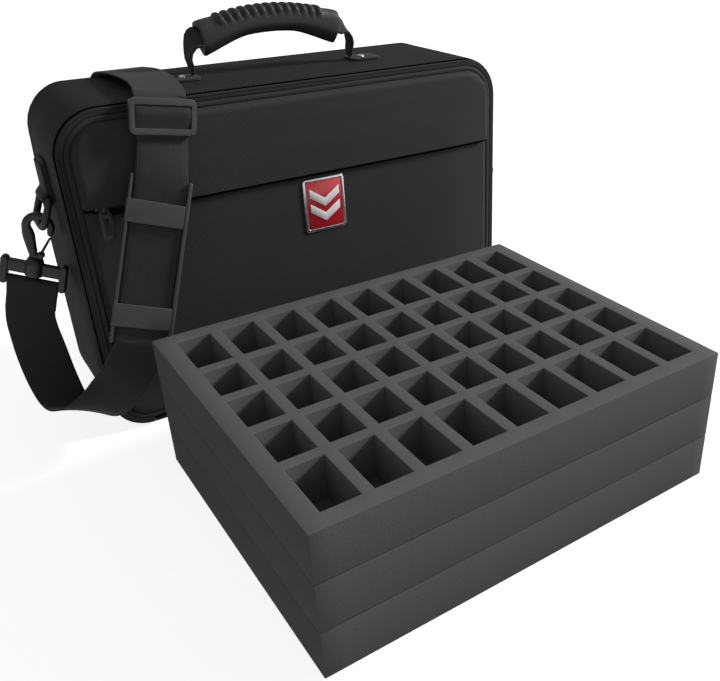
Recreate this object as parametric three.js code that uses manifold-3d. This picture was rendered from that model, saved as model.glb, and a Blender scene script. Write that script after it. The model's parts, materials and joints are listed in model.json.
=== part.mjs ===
// Miniature carry case: a padded soft case with a zipped front door, a carrying handle,
// a clip-on shoulder strap and the three foam trays that it holds, which stand in front of it.
// Millimetres, +Z up. The origin is the middle of the case's base, +X runs along its length
// and -Y is its front.
import * as THREE from 'three';
import { mergeVertices } from 'three/addons/utils/BufferGeometryUtils.js';
import Module from 'manifold-3d';

const wasm = await Module();
wasm.setup();

// Driving dimensions
const GAP = 0.3;                    // clearance between pieces that only touch

const CASE_L = 416;                 // case length
const CASE_H = 284;                 // case height
const CASE_D = 122;                 // back of the case to the wall's front edge
const TOP_R = 38;                   // upper corners of the case
const BASE_R = 32;                  // lower corners
const WALL = 2.8;                   // padded wall
const DOOR_T = 2.4;                 // padded door
const BACK_ROUND = 7;               // rounding of the back edges

const ZIP_EDGE = 0.2;               // the zip starts this far in from the case's outline
const TAPE_T = 0.6;                 // edge of the zip's tape
const TEETH_W = 2.1;                // one row of teeth
const ZIP_SLIT = 0.9;               // slit between the two rows
const TEETH_T = 1.8;
const SLIDER_BACK_T = 0.9;          // the slider's back plate runs behind the teeth
const SLIDER_POST_T = 0.3;          // its post runs in the slit
const SLIDER_L = 11;
const SLIDER_FRONT_T = 1.2;
const PULL_L = 24;
const PULL_W = 10;
const PULL_T = 1.2;
const PULL_RUNG = 0.7;              // rung of the slider's bridge, through the pull's eye
const MAIN_SLIDER_Z = 44;           // the closed zip's slider, low on the right side

const PIPING_W = 4.2;               // piped border of the door
const PIPING_T = 3.6;
const POCKET_DEPTH = 5;             // room in the front pocket
const POCKET_SKIN = 1.6;
const FLY_T = 10.6;                 // the upper panel stands this far in front of the door
const FLY_LIP = 1.4;
const FLY_EDGE_Z = 203;             // lower edge of the upper panel
const FLY_RISE = 5.5;               // the edge rises at its left end, over the zip pull
const FLY_RISE_X = 40;              // from the case's left side to that rise
const POCKET_ZIP_H = 8;             // height of the pocket's zip behind the lip
const FRONT_ROUND = 4;              // rounding of the front panels
const POCKET_SLIDER_X = 26;         // from the case's left side to the slider
const POCKET_SLIDER_H = 6;
const POCKET_PULL_TILT = 12;        // degrees that its pull leans out over the pocket

const HINGE_Z = 3;                  // the door folds down about its lower seam
const HINGE_T = 1.2;

const BADGE_W = 41;
const BADGE_H = 50;
const BADGE_X = 8;
const BADGE_DROP = 6;               // below the upper panel's edge
const BADGE_T = 1;
const BADGE_RIM = 2.4;

const TRAY_L = 345;                 // full-size foam tray
const TRAY_D = 275;
const CELL_DEPTH = 35;
const TRAY_BASE_T = 3.1;
const TRAY_COUNT = 3;
const TRAY_AHEAD = 69.5;            // clear floor between the case and the trays
const TRAY_OFFSET_X = -7.5;
const CELL_W = 27;
const CELL_COLUMNS = 9;
const CELL_WALL_X = 9.1;
const END_ROW_D = 48;               // first and last row of cells
const MIDDLE_ROW_D = 38;
const CELL_WALL_Y = 9.25;

const HANDLE_X = 3;                 // middle of the handle
const HANDLE_Y = -4;
const LEG_SPAN = 156;               // between the middles of the two legs
const GRIP_L = 136;
const GRIP_RISE = 12;               // height of the grip's arch
const GRIP_ABOVE = 45;              // top of the arch, at the grip's middle line, over the case
const GRIP_H = 19;
const GRIP_W = 26;
const RIBS = 11;
const RIB_H = 2.4;
const RIB_W = 4.6;
const RIB_PITCH = 8.4;
const HANDLE_WEB_W = 20;
const LEG_W = 11;
const HANDLE_WEB_T = 2.6;
const PATCH_T = 2;
const PATCH_L = 30;
const PATCH_W = 24;
const PATCH_START = 73.5;           // from the handle's middle
const RIVET_AT = 87;
const RIVET_R = 3.2;
const RIVET_SHANK_R = 1.5;
const RIVET_HEAD = 1.2;

const STRAP_W = 38;
const STRAP_T = 1.6;
const FRAME_L = 51;                 // length of the buckle and of the hooks' strap frames
const FRAME_RAIL = 4;
const BUCKLE_H = 28;
const BUCKLE_BAR = 5;
const BUCKLE_T = 2.5;
const STRAP_OUT = 36;               // the hanging strap, out from the case's side
const STRAP_BEHIND = 50;            // its run on the floor, behind the case's back
const STRAP_IN = 90;                // where it crosses the top, in from the left side
const STRAP_OVER = 8.5;             // its middle over the case's top
const STRAP_AHEAD = 44;             // the pad's foot, in front of the case
const BUCKLE_AT = [81.2, 16.3, 11]; // in from the left side, ahead of the front, below the top
const PAD_TOP = [65.3, 27.8, 76.4];  // middle of the shoulder pad's upper end, counted likewise
const PAD_FOOT = [28.2, STRAP_AHEAD, 170]; // and of its lower end
const PAD_W = 46.6;
const PAD_RAIL = 3.4;
const PAD_BAR_T = 2;
const PAD_BACK_T = 1.6;
const PAD_BAR = 18.6;               // height of each cross-piece
const PAD_HORN = 20;                // the side rails run on past the upper cross-piece
const PAD_TAIL = 14;                // and past the lower one

const RING_W = 32;                  // D-ring, along the case's side
const RING_H = 24;
const RING_WIRE = 4.4;
const RING_TILT = 22;               // degrees out from the wall
const RING_Z = 207;
const RING_Y = -9.5;
const TAB_W = 25;
const TAB_T = 1.6;
const TAB_RISE = 31;                // top of the ring's tab over the ring's bar

const HOOK_OUT = 24.1;              // middle of the hook's collar, out from the case's side
const HOOK_BEHIND = 4.85;           // behind the middle of the ring
const HOOK_DROP = 57.5;             // and below the ring's bar
const HOOK_TURN = 26;              // degrees that the hook faces away from the front
const HOOK_LEAN = 17.5;             // degrees that it leans towards the case
const HOOK_T = 6;
const EYE_R = 6.4;
const EYE_Z = 34.8;                 // middle of the eye above the collar
const HOOK_BAR = 3.6;
const SHANK_R = 2.4;
const COLLAR_R = 5;
const GATE_T = 2;
const GATE_W = 3;
const GATE_AT = [3.4, 9.6];         // the gate's pivot in the hook's own x and z
const PIVOT_R = 1;
const HOOK_FRAME_BAR_Z = -14.5;
const HOOK_FRAME_BAR_R = 2.5;

const SEGMENTS = 6;                 // steps in a quarter round

const rad = THREE.MathUtils.degToRad;
const V = (x, y, z) => new THREE.Vector3(x, y, z);

// Levels and insets that follow from the sizes above
const FRONT_Y = -CASE_D / 2;
const BACK_Y = CASE_D / 2;
const TEETH_BACK_Y = FRONT_Y - SLIDER_BACK_T - 2 * GAP;
const TEETH_Y = TEETH_BACK_Y - TEETH_T;
const ZIP_MIDDLE = ZIP_EDGE + TAPE_T + TEETH_W + ZIP_SLIT / 2;
const DOOR_INSET = ZIP_MIDDLE + ZIP_SLIT / 2;
const ZIP_END = DOOR_INSET + TEETH_W + TAPE_T;
const POCKET_INSET = ZIP_END + PIPING_W + 2 * GAP;
const LAYER_Y = FRONT_Y - GAP;      // the door's front pieces are sewn on here
const POCKET_Y = LAYER_Y - POCKET_DEPTH - POCKET_SKIN;
const FLY_Y = LAYER_Y - FLY_T;
const BAND_TOP_Z = FLY_EDGE_Z + POCKET_ZIP_H;
const STRAIGHT_X = CASE_L / 2 - BASE_R; // half of the straight run of the base
const TRAY_H = CELL_DEPTH + GAP + TRAY_BASE_T;
const LEG_X = LEG_SPAN / 2;
const FOLD_Z = CASE_H + GAP + PATCH_T + GAP + LEG_W / 2; // the handle folds about this level
const STRAP_CLEAR = STRAP_T / 2 + GAP;  // from the strap's middle to a bar that it slides on
const SIDE_X = CASE_L / 2;
const TAB_TOP_Z = RING_Z + TAB_RISE;
const HOOK_AT = V(-SIDE_X - HOOK_OUT, RING_Y + HOOK_BEHIND, RING_Z - HOOK_DROP);

// A point counted in from the case's left side, ahead of its front and below its top.
const fromCorner = ([inside, ahead, below]) => (
  V(-SIDE_X + inside, FRONT_Y - ahead, CASE_H - below));

// Materials
const cloth = new THREE.MeshStandardMaterial({ color: 0x29292b, roughness: 0.85, metalness: 0 });
const trim = new THREE.MeshStandardMaterial({ color: 0x1c1c1e, roughness: 0.7, metalness: 0 });
const webbing = new THREE.MeshStandardMaterial({ color: 0x2c2c2e, roughness: 0.8, metalness: 0 });
const plastic = new THREE.MeshStandardMaterial({ color: 0x3a3a3c, roughness: 0.5, metalness: 0 });
const rubber = new THREE.MeshStandardMaterial({ color: 0x2b2b2d, roughness: 0.6, metalness: 0 });
const foam = new THREE.MeshStandardMaterial({ color: 0x4d4e50, roughness: 0.95, metalness: 0 });
const steel = new THREE.MeshStandardMaterial({ color: 0xd8d9db, roughness: 0.3, metalness: 1 });
const red = new THREE.MeshStandardMaterial({ color: 0xb3202c, roughness: 0.4, metalness: 0 });
const white = new THREE.MeshStandardMaterial({ color: 0xf0f0ee, roughness: 0.4, metalness: 0 });

const carryCase = new THREE.Group();

function place(name, geometry, material, group = carryCase) {
  const mesh = new THREE.Mesh(geometry, material);
  mesh.name = name;
  group.add(mesh);
  return mesh;
}

// A group that holds pieces in a frame of their own.
function groupAt(matrix) {
  const group = new THREE.Group();
  group.applyMatrix4(matrix);
  carryCase.add(group);
  return group;
}

// A closed geometry as a solid that can be joined and cut.
function solid(geometry) {
  const bare = geometry.index ? geometry.toNonIndexed() : geometry.clone();
  bare.deleteAttribute('normal');
  bare.deleteAttribute('uv');
  const merged = mergeVertices(bare, 1e-4);
  return new wasm.Manifold(new wasm.Mesh({
    numProp: 3,
    vertProperties: new Float32Array(merged.attributes.position.array),
    triVerts: new Uint32Array(merged.index.array),
  }));
}

// A solid as a geometry again.
function shape(body) {
  const mesh = body.getMesh();
  const geometry = new THREE.BufferGeometry();
  const stride = mesh.numProp;
  const points = [];
  for (let i = 0; i < mesh.vertProperties.length; i += stride) {
    points.push(...mesh.vertProperties.slice(i, i + 3));
  }
  geometry.setAttribute('position', new THREE.Float32BufferAttribute(points, 3));
  geometry.setIndex([...mesh.triVerts]);
  return geometry;
}

function joined(...geometries) {
  return shape(geometries.map(solid).reduce((a, b) => a.add(b)));
}

function cut(geometry, ...tools) {
  return shape(tools.map(solid).reduce((a, b) => a.subtract(b), solid(geometry)));
}

// The same solid on the other side of the case.
function mirrored(geometry) {
  return shape(solid(geometry).mirror([1, 0, 0]));
}

function box(x0, x1, y0, y1, z0, z1) {
  return new THREE.BoxGeometry(x1 - x0, y1 - y0, z1 - z0)
    .translate((x0 + x1) / 2, (y0 + y1) / 2, (z0 + z1) / 2);
}

// A cylinder between two points.
function rod(from, to, radius, sides = 12) {
  const a = V(...from);
  const b = V(...to);
  const turn = new THREE.Quaternion()
    .setFromUnitVectors(V(0, 1, 0), b.clone().sub(a).normalize());
  const middle = a.clone().add(b).multiplyScalar(0.5);
  return new THREE.CylinderGeometry(radius, radius, a.distanceTo(b), sides)
    .applyQuaternion(turn).translate(middle.x, middle.y, middle.z);
}

// An outline of [x, z] points, anticlockwise seen from the front, as a plate from y0 to y1.
function plate(points, y0, y1, holes = []) {
  const outline = new THREE.Shape(points.map(([x, z]) => new THREE.Vector2(x, z)));
  for (const hole of holes) {
    outline.holes.push(new THREE.Path(hole.map(([x, z]) => new THREE.Vector2(x, z))));
  }
  return new THREE.ExtrudeGeometry(outline, { depth: y1 - y0, bevelEnabled: false })
    .rotateX(Math.PI / 2).translate(0, y1, 0);
}

// Points along an arc, as [x, z] pairs.
function arc(x, z, radius, from, to, steps) {
  const points = [];
  for (let i = 0; i <= steps; i++) {
    const angle = rad(from + ((to - from) * i) / steps);
    points.push([x + radius * Math.cos(angle), z + radius * Math.sin(angle)]);
  }
  return points;
}

function roundRect(x0, x1, z0, z1, r, steps = 3) {
  return [
    ...arc(x0 + r, z0 + r, r, 180, 270, steps), ...arc(x1 - r, z0 + r, r, 270, 360, steps),
    ...arc(x1 - r, z1 - r, r, 0, 90, steps), ...arc(x0 + r, z1 - r, r, 90, 180, steps),
  ];
}

// The case's front outline, drawn in by inset, as points round it from the lower left corner.
function caseOutline(inset, steps = SEGMENTS) {
  const w = CASE_L / 2 - inset;
  const low = inset;
  const high = CASE_H - inset;
  const base = Math.max(BASE_R - inset, 1);
  const top = Math.max(TOP_R - inset, 1);
  return [
    ...arc(-w + base, low + base, base, 180, 270, steps),
    ...arc(w - base, low + base, base, 270, 360, steps),
    ...arc(w - top, high - top, top, 0, 90, steps),
    ...arc(-w + top, high - top, top, 90, 180, steps),
  ].map(([x, z]) => new THREE.Vector2(x, z));
}

// A closed solid through loops of equally many points. The loops run anticlockwise seen from
// where the last loop faces, and each end is closed by a fan round its middle.
function loft(loops) {
  const count = loops[0].length;
  const points = loops.flat();
  const index = [];
  for (let k = 0; k + 1 < loops.length; k++) {
    for (let i = 0; i < count; i++) {
      const j = (i + 1) % count;
      const [a, b] = [k * count + i, k * count + j];
      index.push(a, b, b + count, a, b + count, a + count);
    }
  }
  const middle = (loop) => loop.reduce((s, p) => s.add(p), V(0, 0, 0)).divideScalar(count);
  const last = (loops.length - 1) * count;
  points.push(middle(loops[0]), middle(loops[loops.length - 1]));
  for (let i = 0; i < count; i++) {
    const j = (i + 1) % count;
    index.push(points.length - 2, j, i, points.length - 1, last + i, last + j);
  }
  const geometry = new THREE.BufferGeometry().setFromPoints(points);
  geometry.setIndex(index);
  return geometry;
}

// A panel of the case's outline from y = back to y = front, with a rounded front edge.
function panel(inset, back, front, round, steps = 3) {
  const at = (extra, y) => caseOutline(inset + extra).map((p) => V(p.x, y, p.y));
  const loops = [at(0, back)];
  for (let i = 0; i <= steps; i++) {
    const angle = rad((90 * i) / steps);
    const depth = round * (1 - Math.sin(angle));
    loops.push(at(round * (1 - Math.cos(angle)), front + depth));
  }
  return loft(loops);
}

// A band of the case's outline between two insets, from y0 to y1.
function band(outer, inner, y0, y1, steps = SEGMENTS) {
  const outline = new THREE.Shape(caseOutline(outer, steps));
  outline.holes.push(new THREE.Path(caseOutline(inner, steps).reverse()));
  return new THREE.ExtrudeGeometry(outline, { depth: y1 - y0, bevelEnabled: false })
    .rotateX(Math.PI / 2).translate(0, y1, 0);
}

// A strip of cloth through stations { at, across, width }, with its thickness along the normal.
function ribbon(stations, thickness, extra = 0) {
  const loops = stations.map((station, i) => {
    const before = stations[Math.max(i - 1, 0)].at;
    const after = stations[Math.min(i + 1, stations.length - 1)].at;
    const along = after.clone().sub(before).normalize();
    const across = station.across.clone().addScaledVector(along, -station.across.dot(along))
      .normalize();
    const normal = new THREE.Vector3().crossVectors(along, across);
    const corner = (u, v) => station.at.clone()
      .addScaledVector(across, (u * (station.width + extra)) / 2)
      .addScaledVector(normal, (v * thickness) / 2);
    return [corner(-1, -1), corner(1, -1), corner(1, 1), corner(-1, 1)];
  });
  return loft(loops);
}

// Stations along a smooth curve through hand-placed ones, which are [point, across] pairs.
function smoothStations(placed, perSpan, width) {
  const left = placed.map(([p, w]) => p.clone().addScaledVector(w, -width / 2));
  const right = placed.map(([p, w]) => p.clone().addScaledVector(w, width / 2));
  const leftEdge = new THREE.CatmullRomCurve3(left, false, 'catmullrom', 0.5);
  const rightEdge = new THREE.CatmullRomCurve3(right, false, 'catmullrom', 0.5);
  const steps = (placed.length - 1) * perSpan;
  const stations = [];
  for (let i = 0; i <= steps; i++) {
    const a = leftEdge.getPoint(i / steps);
    const b = rightEdge.getPoint(i / steps);
    stations.push({
      at: a.clone().add(b).multiplyScalar(0.5),
      across: b.sub(a).normalize(),
      width,
    });
  }
  return stations;
}

// A closed loop of round wire along flat points.
function wireLoop(path, radius, sides = 10) {
  const count = path.length;
  const middle = path.reduce((s, p) => s.add(p), V(0, 0, 0)).divideScalar(count);
  const normal = V(0, 0, 0);
  path.forEach((p, i) => normal.add(new THREE.Vector3().crossVectors(
    p.clone().sub(middle), path[(i + 1) % count].clone().sub(middle))));
  normal.normalize();
  const points = [];
  const index = [];
  path.forEach((p, i) => {
    const along = path[(i + 1) % count].clone().sub(path[(i + count - 1) % count]).normalize();
    const out = new THREE.Vector3().crossVectors(along, normal);
    for (let k = 0; k < sides; k++) {
      const t = rad((360 * k) / sides);
      points.push(p.clone().addScaledVector(out, radius * Math.cos(t))
        .addScaledVector(normal, radius * Math.sin(t)));
      const [a, b] = [i * sides + k, i * sides + ((k + 1) % sides)];
      const next = ((i + 1) % count) * sides;
      const [c, d] = [next + k, next + ((k + 1) % sides)];
      index.push(a, c, b, b, c, d);
    }
  });
  const geometry = new THREE.BufferGeometry().setFromPoints(points);
  geometry.setIndex(index);
  return geometry;
}

// A square frame at a point, with z along up and x as near to across as that allows.
function frameAt(at, across, up) {
  const z = up.clone().normalize();
  const x = across.clone().addScaledVector(z, -across.dot(z)).normalize();
  return new THREE.Matrix4().makeBasis(x, new THREE.Vector3().crossVectors(z, x), z)
    .setPosition(at);
}

// Case shell: wall and back
function makeShell() {
  const backStart = BACK_Y - BACK_ROUND;
  place('gusset', band(0, WALL, FRONT_Y, backStart - GAP), cloth);
  const outer = panel(0, -backStart, -BACK_Y, BACK_ROUND, 4);
  const inner = panel(WALL, -backStart + 1, -BACK_Y + WALL, BACK_ROUND - WALL, 4);
  place('back_panel', cut(outer, inner).rotateZ(Math.PI), cloth);
}

// One half of the main zip: its teeth with the tape's edge, open along the case's base
function zipHalf(name, tapeInset, teethInset) {
  const tape = band(tapeInset, tapeInset + TAPE_T, TEETH_Y, LAYER_Y);
  const teeth = band(teethInset, teethInset + TEETH_W, TEETH_Y, TEETH_BACK_Y);
  const base = box(-STRAIGHT_X, STRAIGHT_X, TEETH_Y - 1, FRONT_Y + 1, -1, BASE_R / 2);
  place(name, cut(joined(tape, teeth), base), trim);
}

// Front door: panel, fold at the base, piped border
function makeDoor() {
  zipHalf('zip_half_shell', ZIP_EDGE, ZIP_EDGE + TAPE_T);
  zipHalf('zip_half_door', DOOR_INSET + TEETH_W, DOOR_INSET);
  place('door_panel', panel(DOOR_INSET, FRONT_Y + DOOR_T, FRONT_Y, 0.6, 1), cloth);
  const hem = STRAIGHT_X - 1;
  const fold = box(-hem, hem, LAYER_Y - HINGE_T, LAYER_Y, ZIP_EDGE, HINGE_Z + 0.4);
  place('door_fold', fold, cloth);
  const border = ZIP_END + GAP;
  const rim = cut(panel(border, LAYER_Y, LAYER_Y - PIPING_T, PIPING_W / 2 - 0.2, 3),
    panel(border + PIPING_W, LAYER_Y + 1, LAYER_Y - PIPING_T - 1, 0, 1));
  place('door_piping', rim, trim);
}

function makePocket() {
  const above = box(-CASE_L, CASE_L, POCKET_Y - 9, FRONT_Y, FLY_EDGE_Z - GAP, CASE_H);
  const inner = POCKET_INSET + POCKET_SKIN;
  const room = panel(inner, LAYER_Y + 1, POCKET_Y + POCKET_SKIN, FRONT_ROUND - POCKET_SKIN);
  const outer = panel(POCKET_INSET, LAYER_Y, POCKET_Y, FRONT_ROUND);
  place('pocket_panel', cut(outer, above, room), cloth);
  const side = CASE_L / 2 - POCKET_INSET - FRONT_ROUND;
  const low = FLY_EDGE_Z + GAP;
  const high = low + POCKET_ZIP_H - 2 * GAP - TEETH_W;
  place('pocket_zip_teeth', joined(
    box(-side, side, LAYER_Y - TEETH_T, LAYER_Y, low, low + TEETH_W),
    box(-side, side, LAYER_Y - TEETH_T, LAYER_Y, high, high + TEETH_W),
    box(-side, side, LAYER_Y - TAPE_T, LAYER_Y, low, high + TEETH_W)), trim);
}

// Upper panel with the lip that covers the pocket's zip
function makeUpperPanel() {
  const far = CASE_L;
  const riseX = -CASE_L / 2 + FLY_RISE_X;
  const under = plate([
    [-far, -9], [far, -9], [far, FLY_EDGE_Z], [riseX + 3 * FLY_RISE, FLY_EDGE_Z],
    [riseX, FLY_EDGE_Z + FLY_RISE], [-far, FLY_EDGE_Z + FLY_RISE],
  ], FLY_Y - 9, FRONT_Y + 1);
  const behindLip = box(-far, far, FLY_Y + FLY_LIP, FRONT_Y + 1, 0, BAND_TOP_Z);
  const whole = panel(POCKET_INSET, LAYER_Y, FLY_Y, FRONT_ROUND);
  place('upper_panel', cut(whole, under, behindLip), cloth);
}

// Badge: rim, field and a chevron on it
function makeBadge() {
  const top = FLY_EDGE_Z - BADGE_DROP;
  const back = POCKET_Y - GAP;
  const left = BADGE_X - BADGE_W / 2;
  const right = BADGE_X + BADGE_W / 2;
  const low = top - BADGE_H;
  const rim = BADGE_RIM;
  place('badge_rim', plate(roundRect(left, right, low, top, 3), back - BADGE_T, back,
    [roundRect(left + rim, right - rim, low + rim, top - rim, 1.5)]), steel);
  const edge = rim + GAP;
  place('badge_field', plate(roundRect(left + edge, right - edge, low + edge, top - edge, 1.2),
    back - BADGE_T + 0.3, back), red);
  const wing = BADGE_W / 2 - edge - 3;
  const chevron = (z, tall) => plate([
    [BADGE_X - wing, z], [BADGE_X, z - wing * 0.7], [BADGE_X + wing, z],
    [BADGE_X + wing, z + tall], [BADGE_X, z + tall - wing * 0.7], [BADGE_X - wing, z + tall],
  ], back - BADGE_T - 0.5, back - BADGE_T);
  place('badge_chevron_upper', chevron(top - 17, 8), white);
  place('badge_chevron_lower', chevron(top - 31, 8), white);
}

// A zip slider's pull: a flat tab with a slot, hung by its eye's upper bar at the origin
function pullTab(length) {
  const w = PULL_W / 2;
  return plate([
    [-w, -3], [-w, -length + 1], [-w + 1, -length], [w - 1, -length], [w, -length + 1],
    [w, -3], [w - 2.4, 0.6], [-w + 2.4, 0.6],
  ], -PULL_T / 2, PULL_T / 2, [
    [[-1.9, -3.6], [1.9, -3.6], [1.9, -0.6], [-1.9, -0.6]],
    [[-2, -length + 4], [2, -length + 4], [2, -7], [-2, -7]],
  ]);
}

// The bridge on a slider: a staple from a face at y = reach round the pull's bar at the origin
function bridge(reach) {
  const rungY = -0.95;
  return joined(
    box(-1.3, 1.3, rungY - PULL_RUNG, reach, 1.3, 2.2),
    box(-1.3, 1.3, rungY - PULL_RUNG, reach, -2.2, -1.3),
    box(-1.3, 1.3, rungY - PULL_RUNG, rungY, -2.2, 2.2));
}

// Main zip's slider: front plate, post in the slit, back plate behind the teeth
function makeMainSlider() {
  const half = TEETH_W + ZIP_SLIT / 2 - GAP;
  const post = SLIDER_POST_T / 2;
  const frontY = TEETH_Y - GAP;
  const faceY = frontY - SLIDER_FRONT_T;
  const end = SLIDER_L / 2;
  const body = joined(
    box(-half - 1.4, half + 1.4, faceY, frontY, -end, end),
    box(-post, post, frontY - 0.2, TEETH_BACK_Y + GAP + 0.2, -end + 2, end - 2),
    box(-half, half, TEETH_BACK_Y + GAP, TEETH_BACK_Y + GAP + SLIDER_BACK_T, -end, end),
    bridge(1.2).translate(0, faceY - 1, 0));
  const x = SIDE_X - ZIP_MIDDLE;
  place('zip_slider_main', body, steel).position.set(x, 0, MAIN_SLIDER_Z);
  place('zip_pull_main', pullTab(PULL_L), plastic).position.set(x, faceY - 1, MAIN_SLIDER_Z);
}

// Pocket zip's slider behind the lip, with its pull hanging out below the lip
function makePocketSlider() {
  const x = -CASE_L / 2 + POCKET_SLIDER_X;
  const z = FLY_EDGE_Z + POCKET_ZIP_H / 2 - 0.4;
  const frontY = LAYER_Y - TEETH_T - GAP;
  const faceY = frontY - SLIDER_FRONT_T;
  const half = POCKET_SLIDER_H / 2;
  const pivotY = POCKET_Y - 0.4;
  const pivotZ = z - 0.9;
  const body = joined(
    box(x - SLIDER_L / 2, x + SLIDER_L / 2, faceY, frontY, z - half, z + half),
    bridge(faceY - pivotY + 0.2).translate(x, pivotY, pivotZ));
  place('zip_slider_pocket', body, steel);
  const pull = place('zip_pull_pocket', pullTab(PULL_L), plastic);
  pull.rotation.x = rad(-POCKET_PULL_TILT);
  pull.position.set(x, pivotY, pivotZ);
}

// Handle: two riveted patches, webbing, ribbed grip
function makeHandle() {
  const patchZ = CASE_H + GAP;
  const patch = (side) => {
    const near = HANDLE_X + side * PATCH_START;
    const far = HANDLE_X + side * (PATCH_START + PATCH_L);
    const w = PATCH_W / 2;
    const outline = roundRect(Math.min(near, far), Math.max(near, far), -w, w, 5);
    const hole = arc(HANDLE_X + side * RIVET_AT, 0, RIVET_SHANK_R + GAP, 0, 330, 11);
    return plate(outline, -PATCH_T, 0, [hole]).rotateX(-Math.PI / 2)
      .translate(0, HANDLE_Y, patchZ);
  };
  place('handle_patch_left', patch(-1), webbing);
  place('handle_patch_right', patch(1), webbing);
  const headZ = patchZ + PATCH_T + GAP;
  for (const [name, side] of [['handle_rivet_left', -1], ['handle_rivet_right', 1]]) {
    const rivet = joined(
      rod([0, 0, patchZ - headZ], [0, 0, 0.2], RIVET_SHANK_R),
      new THREE.CylinderGeometry(RIVET_R * 0.62, RIVET_R, RIVET_HEAD, 18)
        .rotateX(Math.PI / 2).translate(0, 0, RIVET_HEAD / 2));
    place(name, rivet, steel).position.set(HANDLE_X + side * RIVET_AT, HANDLE_Y, headZ);
  }

  const half = GRIP_L / 2;
  const arcR = (half ** 2 + GRIP_RISE ** 2) / (2 * GRIP_RISE);
  const arcZ = CASE_H + GRIP_ABOVE - arcR;
  const across = V(0, 1, 0);
  const arcPoint = (s) => V(HANDLE_X + arcR * Math.sin(s / arcR), HANDLE_Y,
    arcZ + arcR * Math.cos(s / arcR));
  const swing = arcR * Math.asin(half / arcR);
  const arcStations = [];
  for (let i = 0; i <= 16; i++) {
    arcStations.push({ at: arcPoint(swing * (i / 8 - 1)), across, width: HANDLE_WEB_W });
  }
  const endZ = arcPoint(swing).z - FOLD_Z;
  const leg = [
    [LEG_X - 4, endZ - 2.8, 19], [LEG_X + 0.5, endZ - 6.4, 16], [LEG_X + 3, endZ - 11, 13],
    [LEG_X + 3, endZ - 16, 11.5], [LEG_X + 1, 4, LEG_W], [LEG_X, 0, LEG_W],
    ...[20, 40, 60, 78].map((t) => [
      LEG_X, (-LEG_W / 2) * Math.sin(rad(t)), LEG_W * Math.cos(rad(t))]),
  ];
  const foot = (side) => leg.map(([x, z, width]) => (
    { at: V(HANDLE_X + side * x, HANDLE_Y, FOLD_Z + z), across, width }));
  const path = [...foot(-1).reverse(), ...arcStations, ...foot(1)];
  place('handle_webbing', ribbon(path, HANDLE_WEB_T), webbing);

  const ribStart = -((RIBS - 1) / 2) * RIB_PITCH;
  const stations = [];
  const add = (s, scale, rib) => stations.push({ s, scale, rib });
  add(-swing, 0.8, 0);
  add(-swing + 1.2, 0.93, 0);
  add(-swing + 3.6, 1, 0);
  add(ribStart - RIB_PITCH * 0.75, 1, 0);
  for (let i = 0; i < RIBS; i++) {
    const s = ribStart + i * RIB_PITCH;
    add(s - RIB_W / 2 - 0.7, 1, 0);
    add(s - RIB_W / 2 + 0.5, 1, 1);
    add(s + RIB_W / 2 - 0.5, 1, 1);
    add(s + RIB_W / 2 + 0.7, 1, 0);
  }
  add(-ribStart + RIB_PITCH * 0.75, 1, 0);
  add(swing - 3.6, 1, 0);
  add(swing - 1.2, 0.93, 0);
  add(swing, 0.8, 0);
  const loops = stations.map(({ s, scale, rib }) => {
    const middle = arcPoint(s);
    const up = V(Math.sin(s / arcR), 0, Math.cos(s / arcR));
    const loop = [];
    for (let k = 0; k < 20; k++) {
      const t = rad(18 * k);
      const flat = (value) => Math.sign(value) * Math.abs(value) ** 0.7;
      const onRib = rib * THREE.MathUtils.smoothstep(Math.sin(t), -0.45, 0.1) * RIB_H;
      loop.push(middle.clone()
        .addScaledVector(across, (GRIP_W / 2 - RIB_H) * scale * flat(Math.cos(t))
          + onRib * Math.cos(t))
        .addScaledVector(up, (GRIP_H / 2) * scale * flat(Math.sin(t)) + onRib * Math.sin(t)));
    }
    return loop;
  });
  const slot = ribbon(path, HANDLE_WEB_T + 2 * GAP, 2 * GAP);
  place('handle_grip', cut(loft(loops), slot), rubber);
}

// D-ring in its sewn tab on the case's left side
function makeRing() {
  const barX = -CASE_L / 2 - RING_WIRE / 2 - TAB_T - 2 * GAP;
  const w = RING_W / 2;
  const h = RING_H;
  const outline = [
    ...arc(-w + 3, -3, 3, 180, 90, 3), ...arc(w - 3, -3, 3, 90, 0, 3),
    ...arc(w - 8, -h + 8, 8, 0, -90, 5), ...arc(-w + 8, -h + 8, 8, -90, -180, 5),
  ];
  const path = outline.map(([y, z]) => V(0, y, z));
  const ring = wireLoop(path, RING_WIRE / 2).rotateY(rad(RING_TILT))
    .translate(barX, RING_Y, RING_Z);
  const wrapR = RING_WIRE / 2 + GAP + TAB_T / 2;
  const innerX = -CASE_L / 2 - GAP - TAB_T / 2;
  const outerX = innerX - TAB_T - GAP;
  const route = [
    [innerX, TAB_TOP_Z], [innerX, RING_Z + 5],
    ...arc(barX, RING_Z, wrapR, 10, -230, 12),
    [outerX, RING_Z + 6.6], [outerX, TAB_TOP_Z - 3],
  ];
  const stations = route.map(([x, z]) => ({ at: V(x, RING_Y, z), across: V(0, 1, 0), width: TAB_W }));
  const tab = ribbon(stations, TAB_T);
  place('d_ring_left', ring, plastic);
  place('d_ring_right', mirrored(ring), plastic);
  place('d_ring_tab_left', tab, webbing);
  place('d_ring_tab_right', mirrored(tab), webbing);
}

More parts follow.
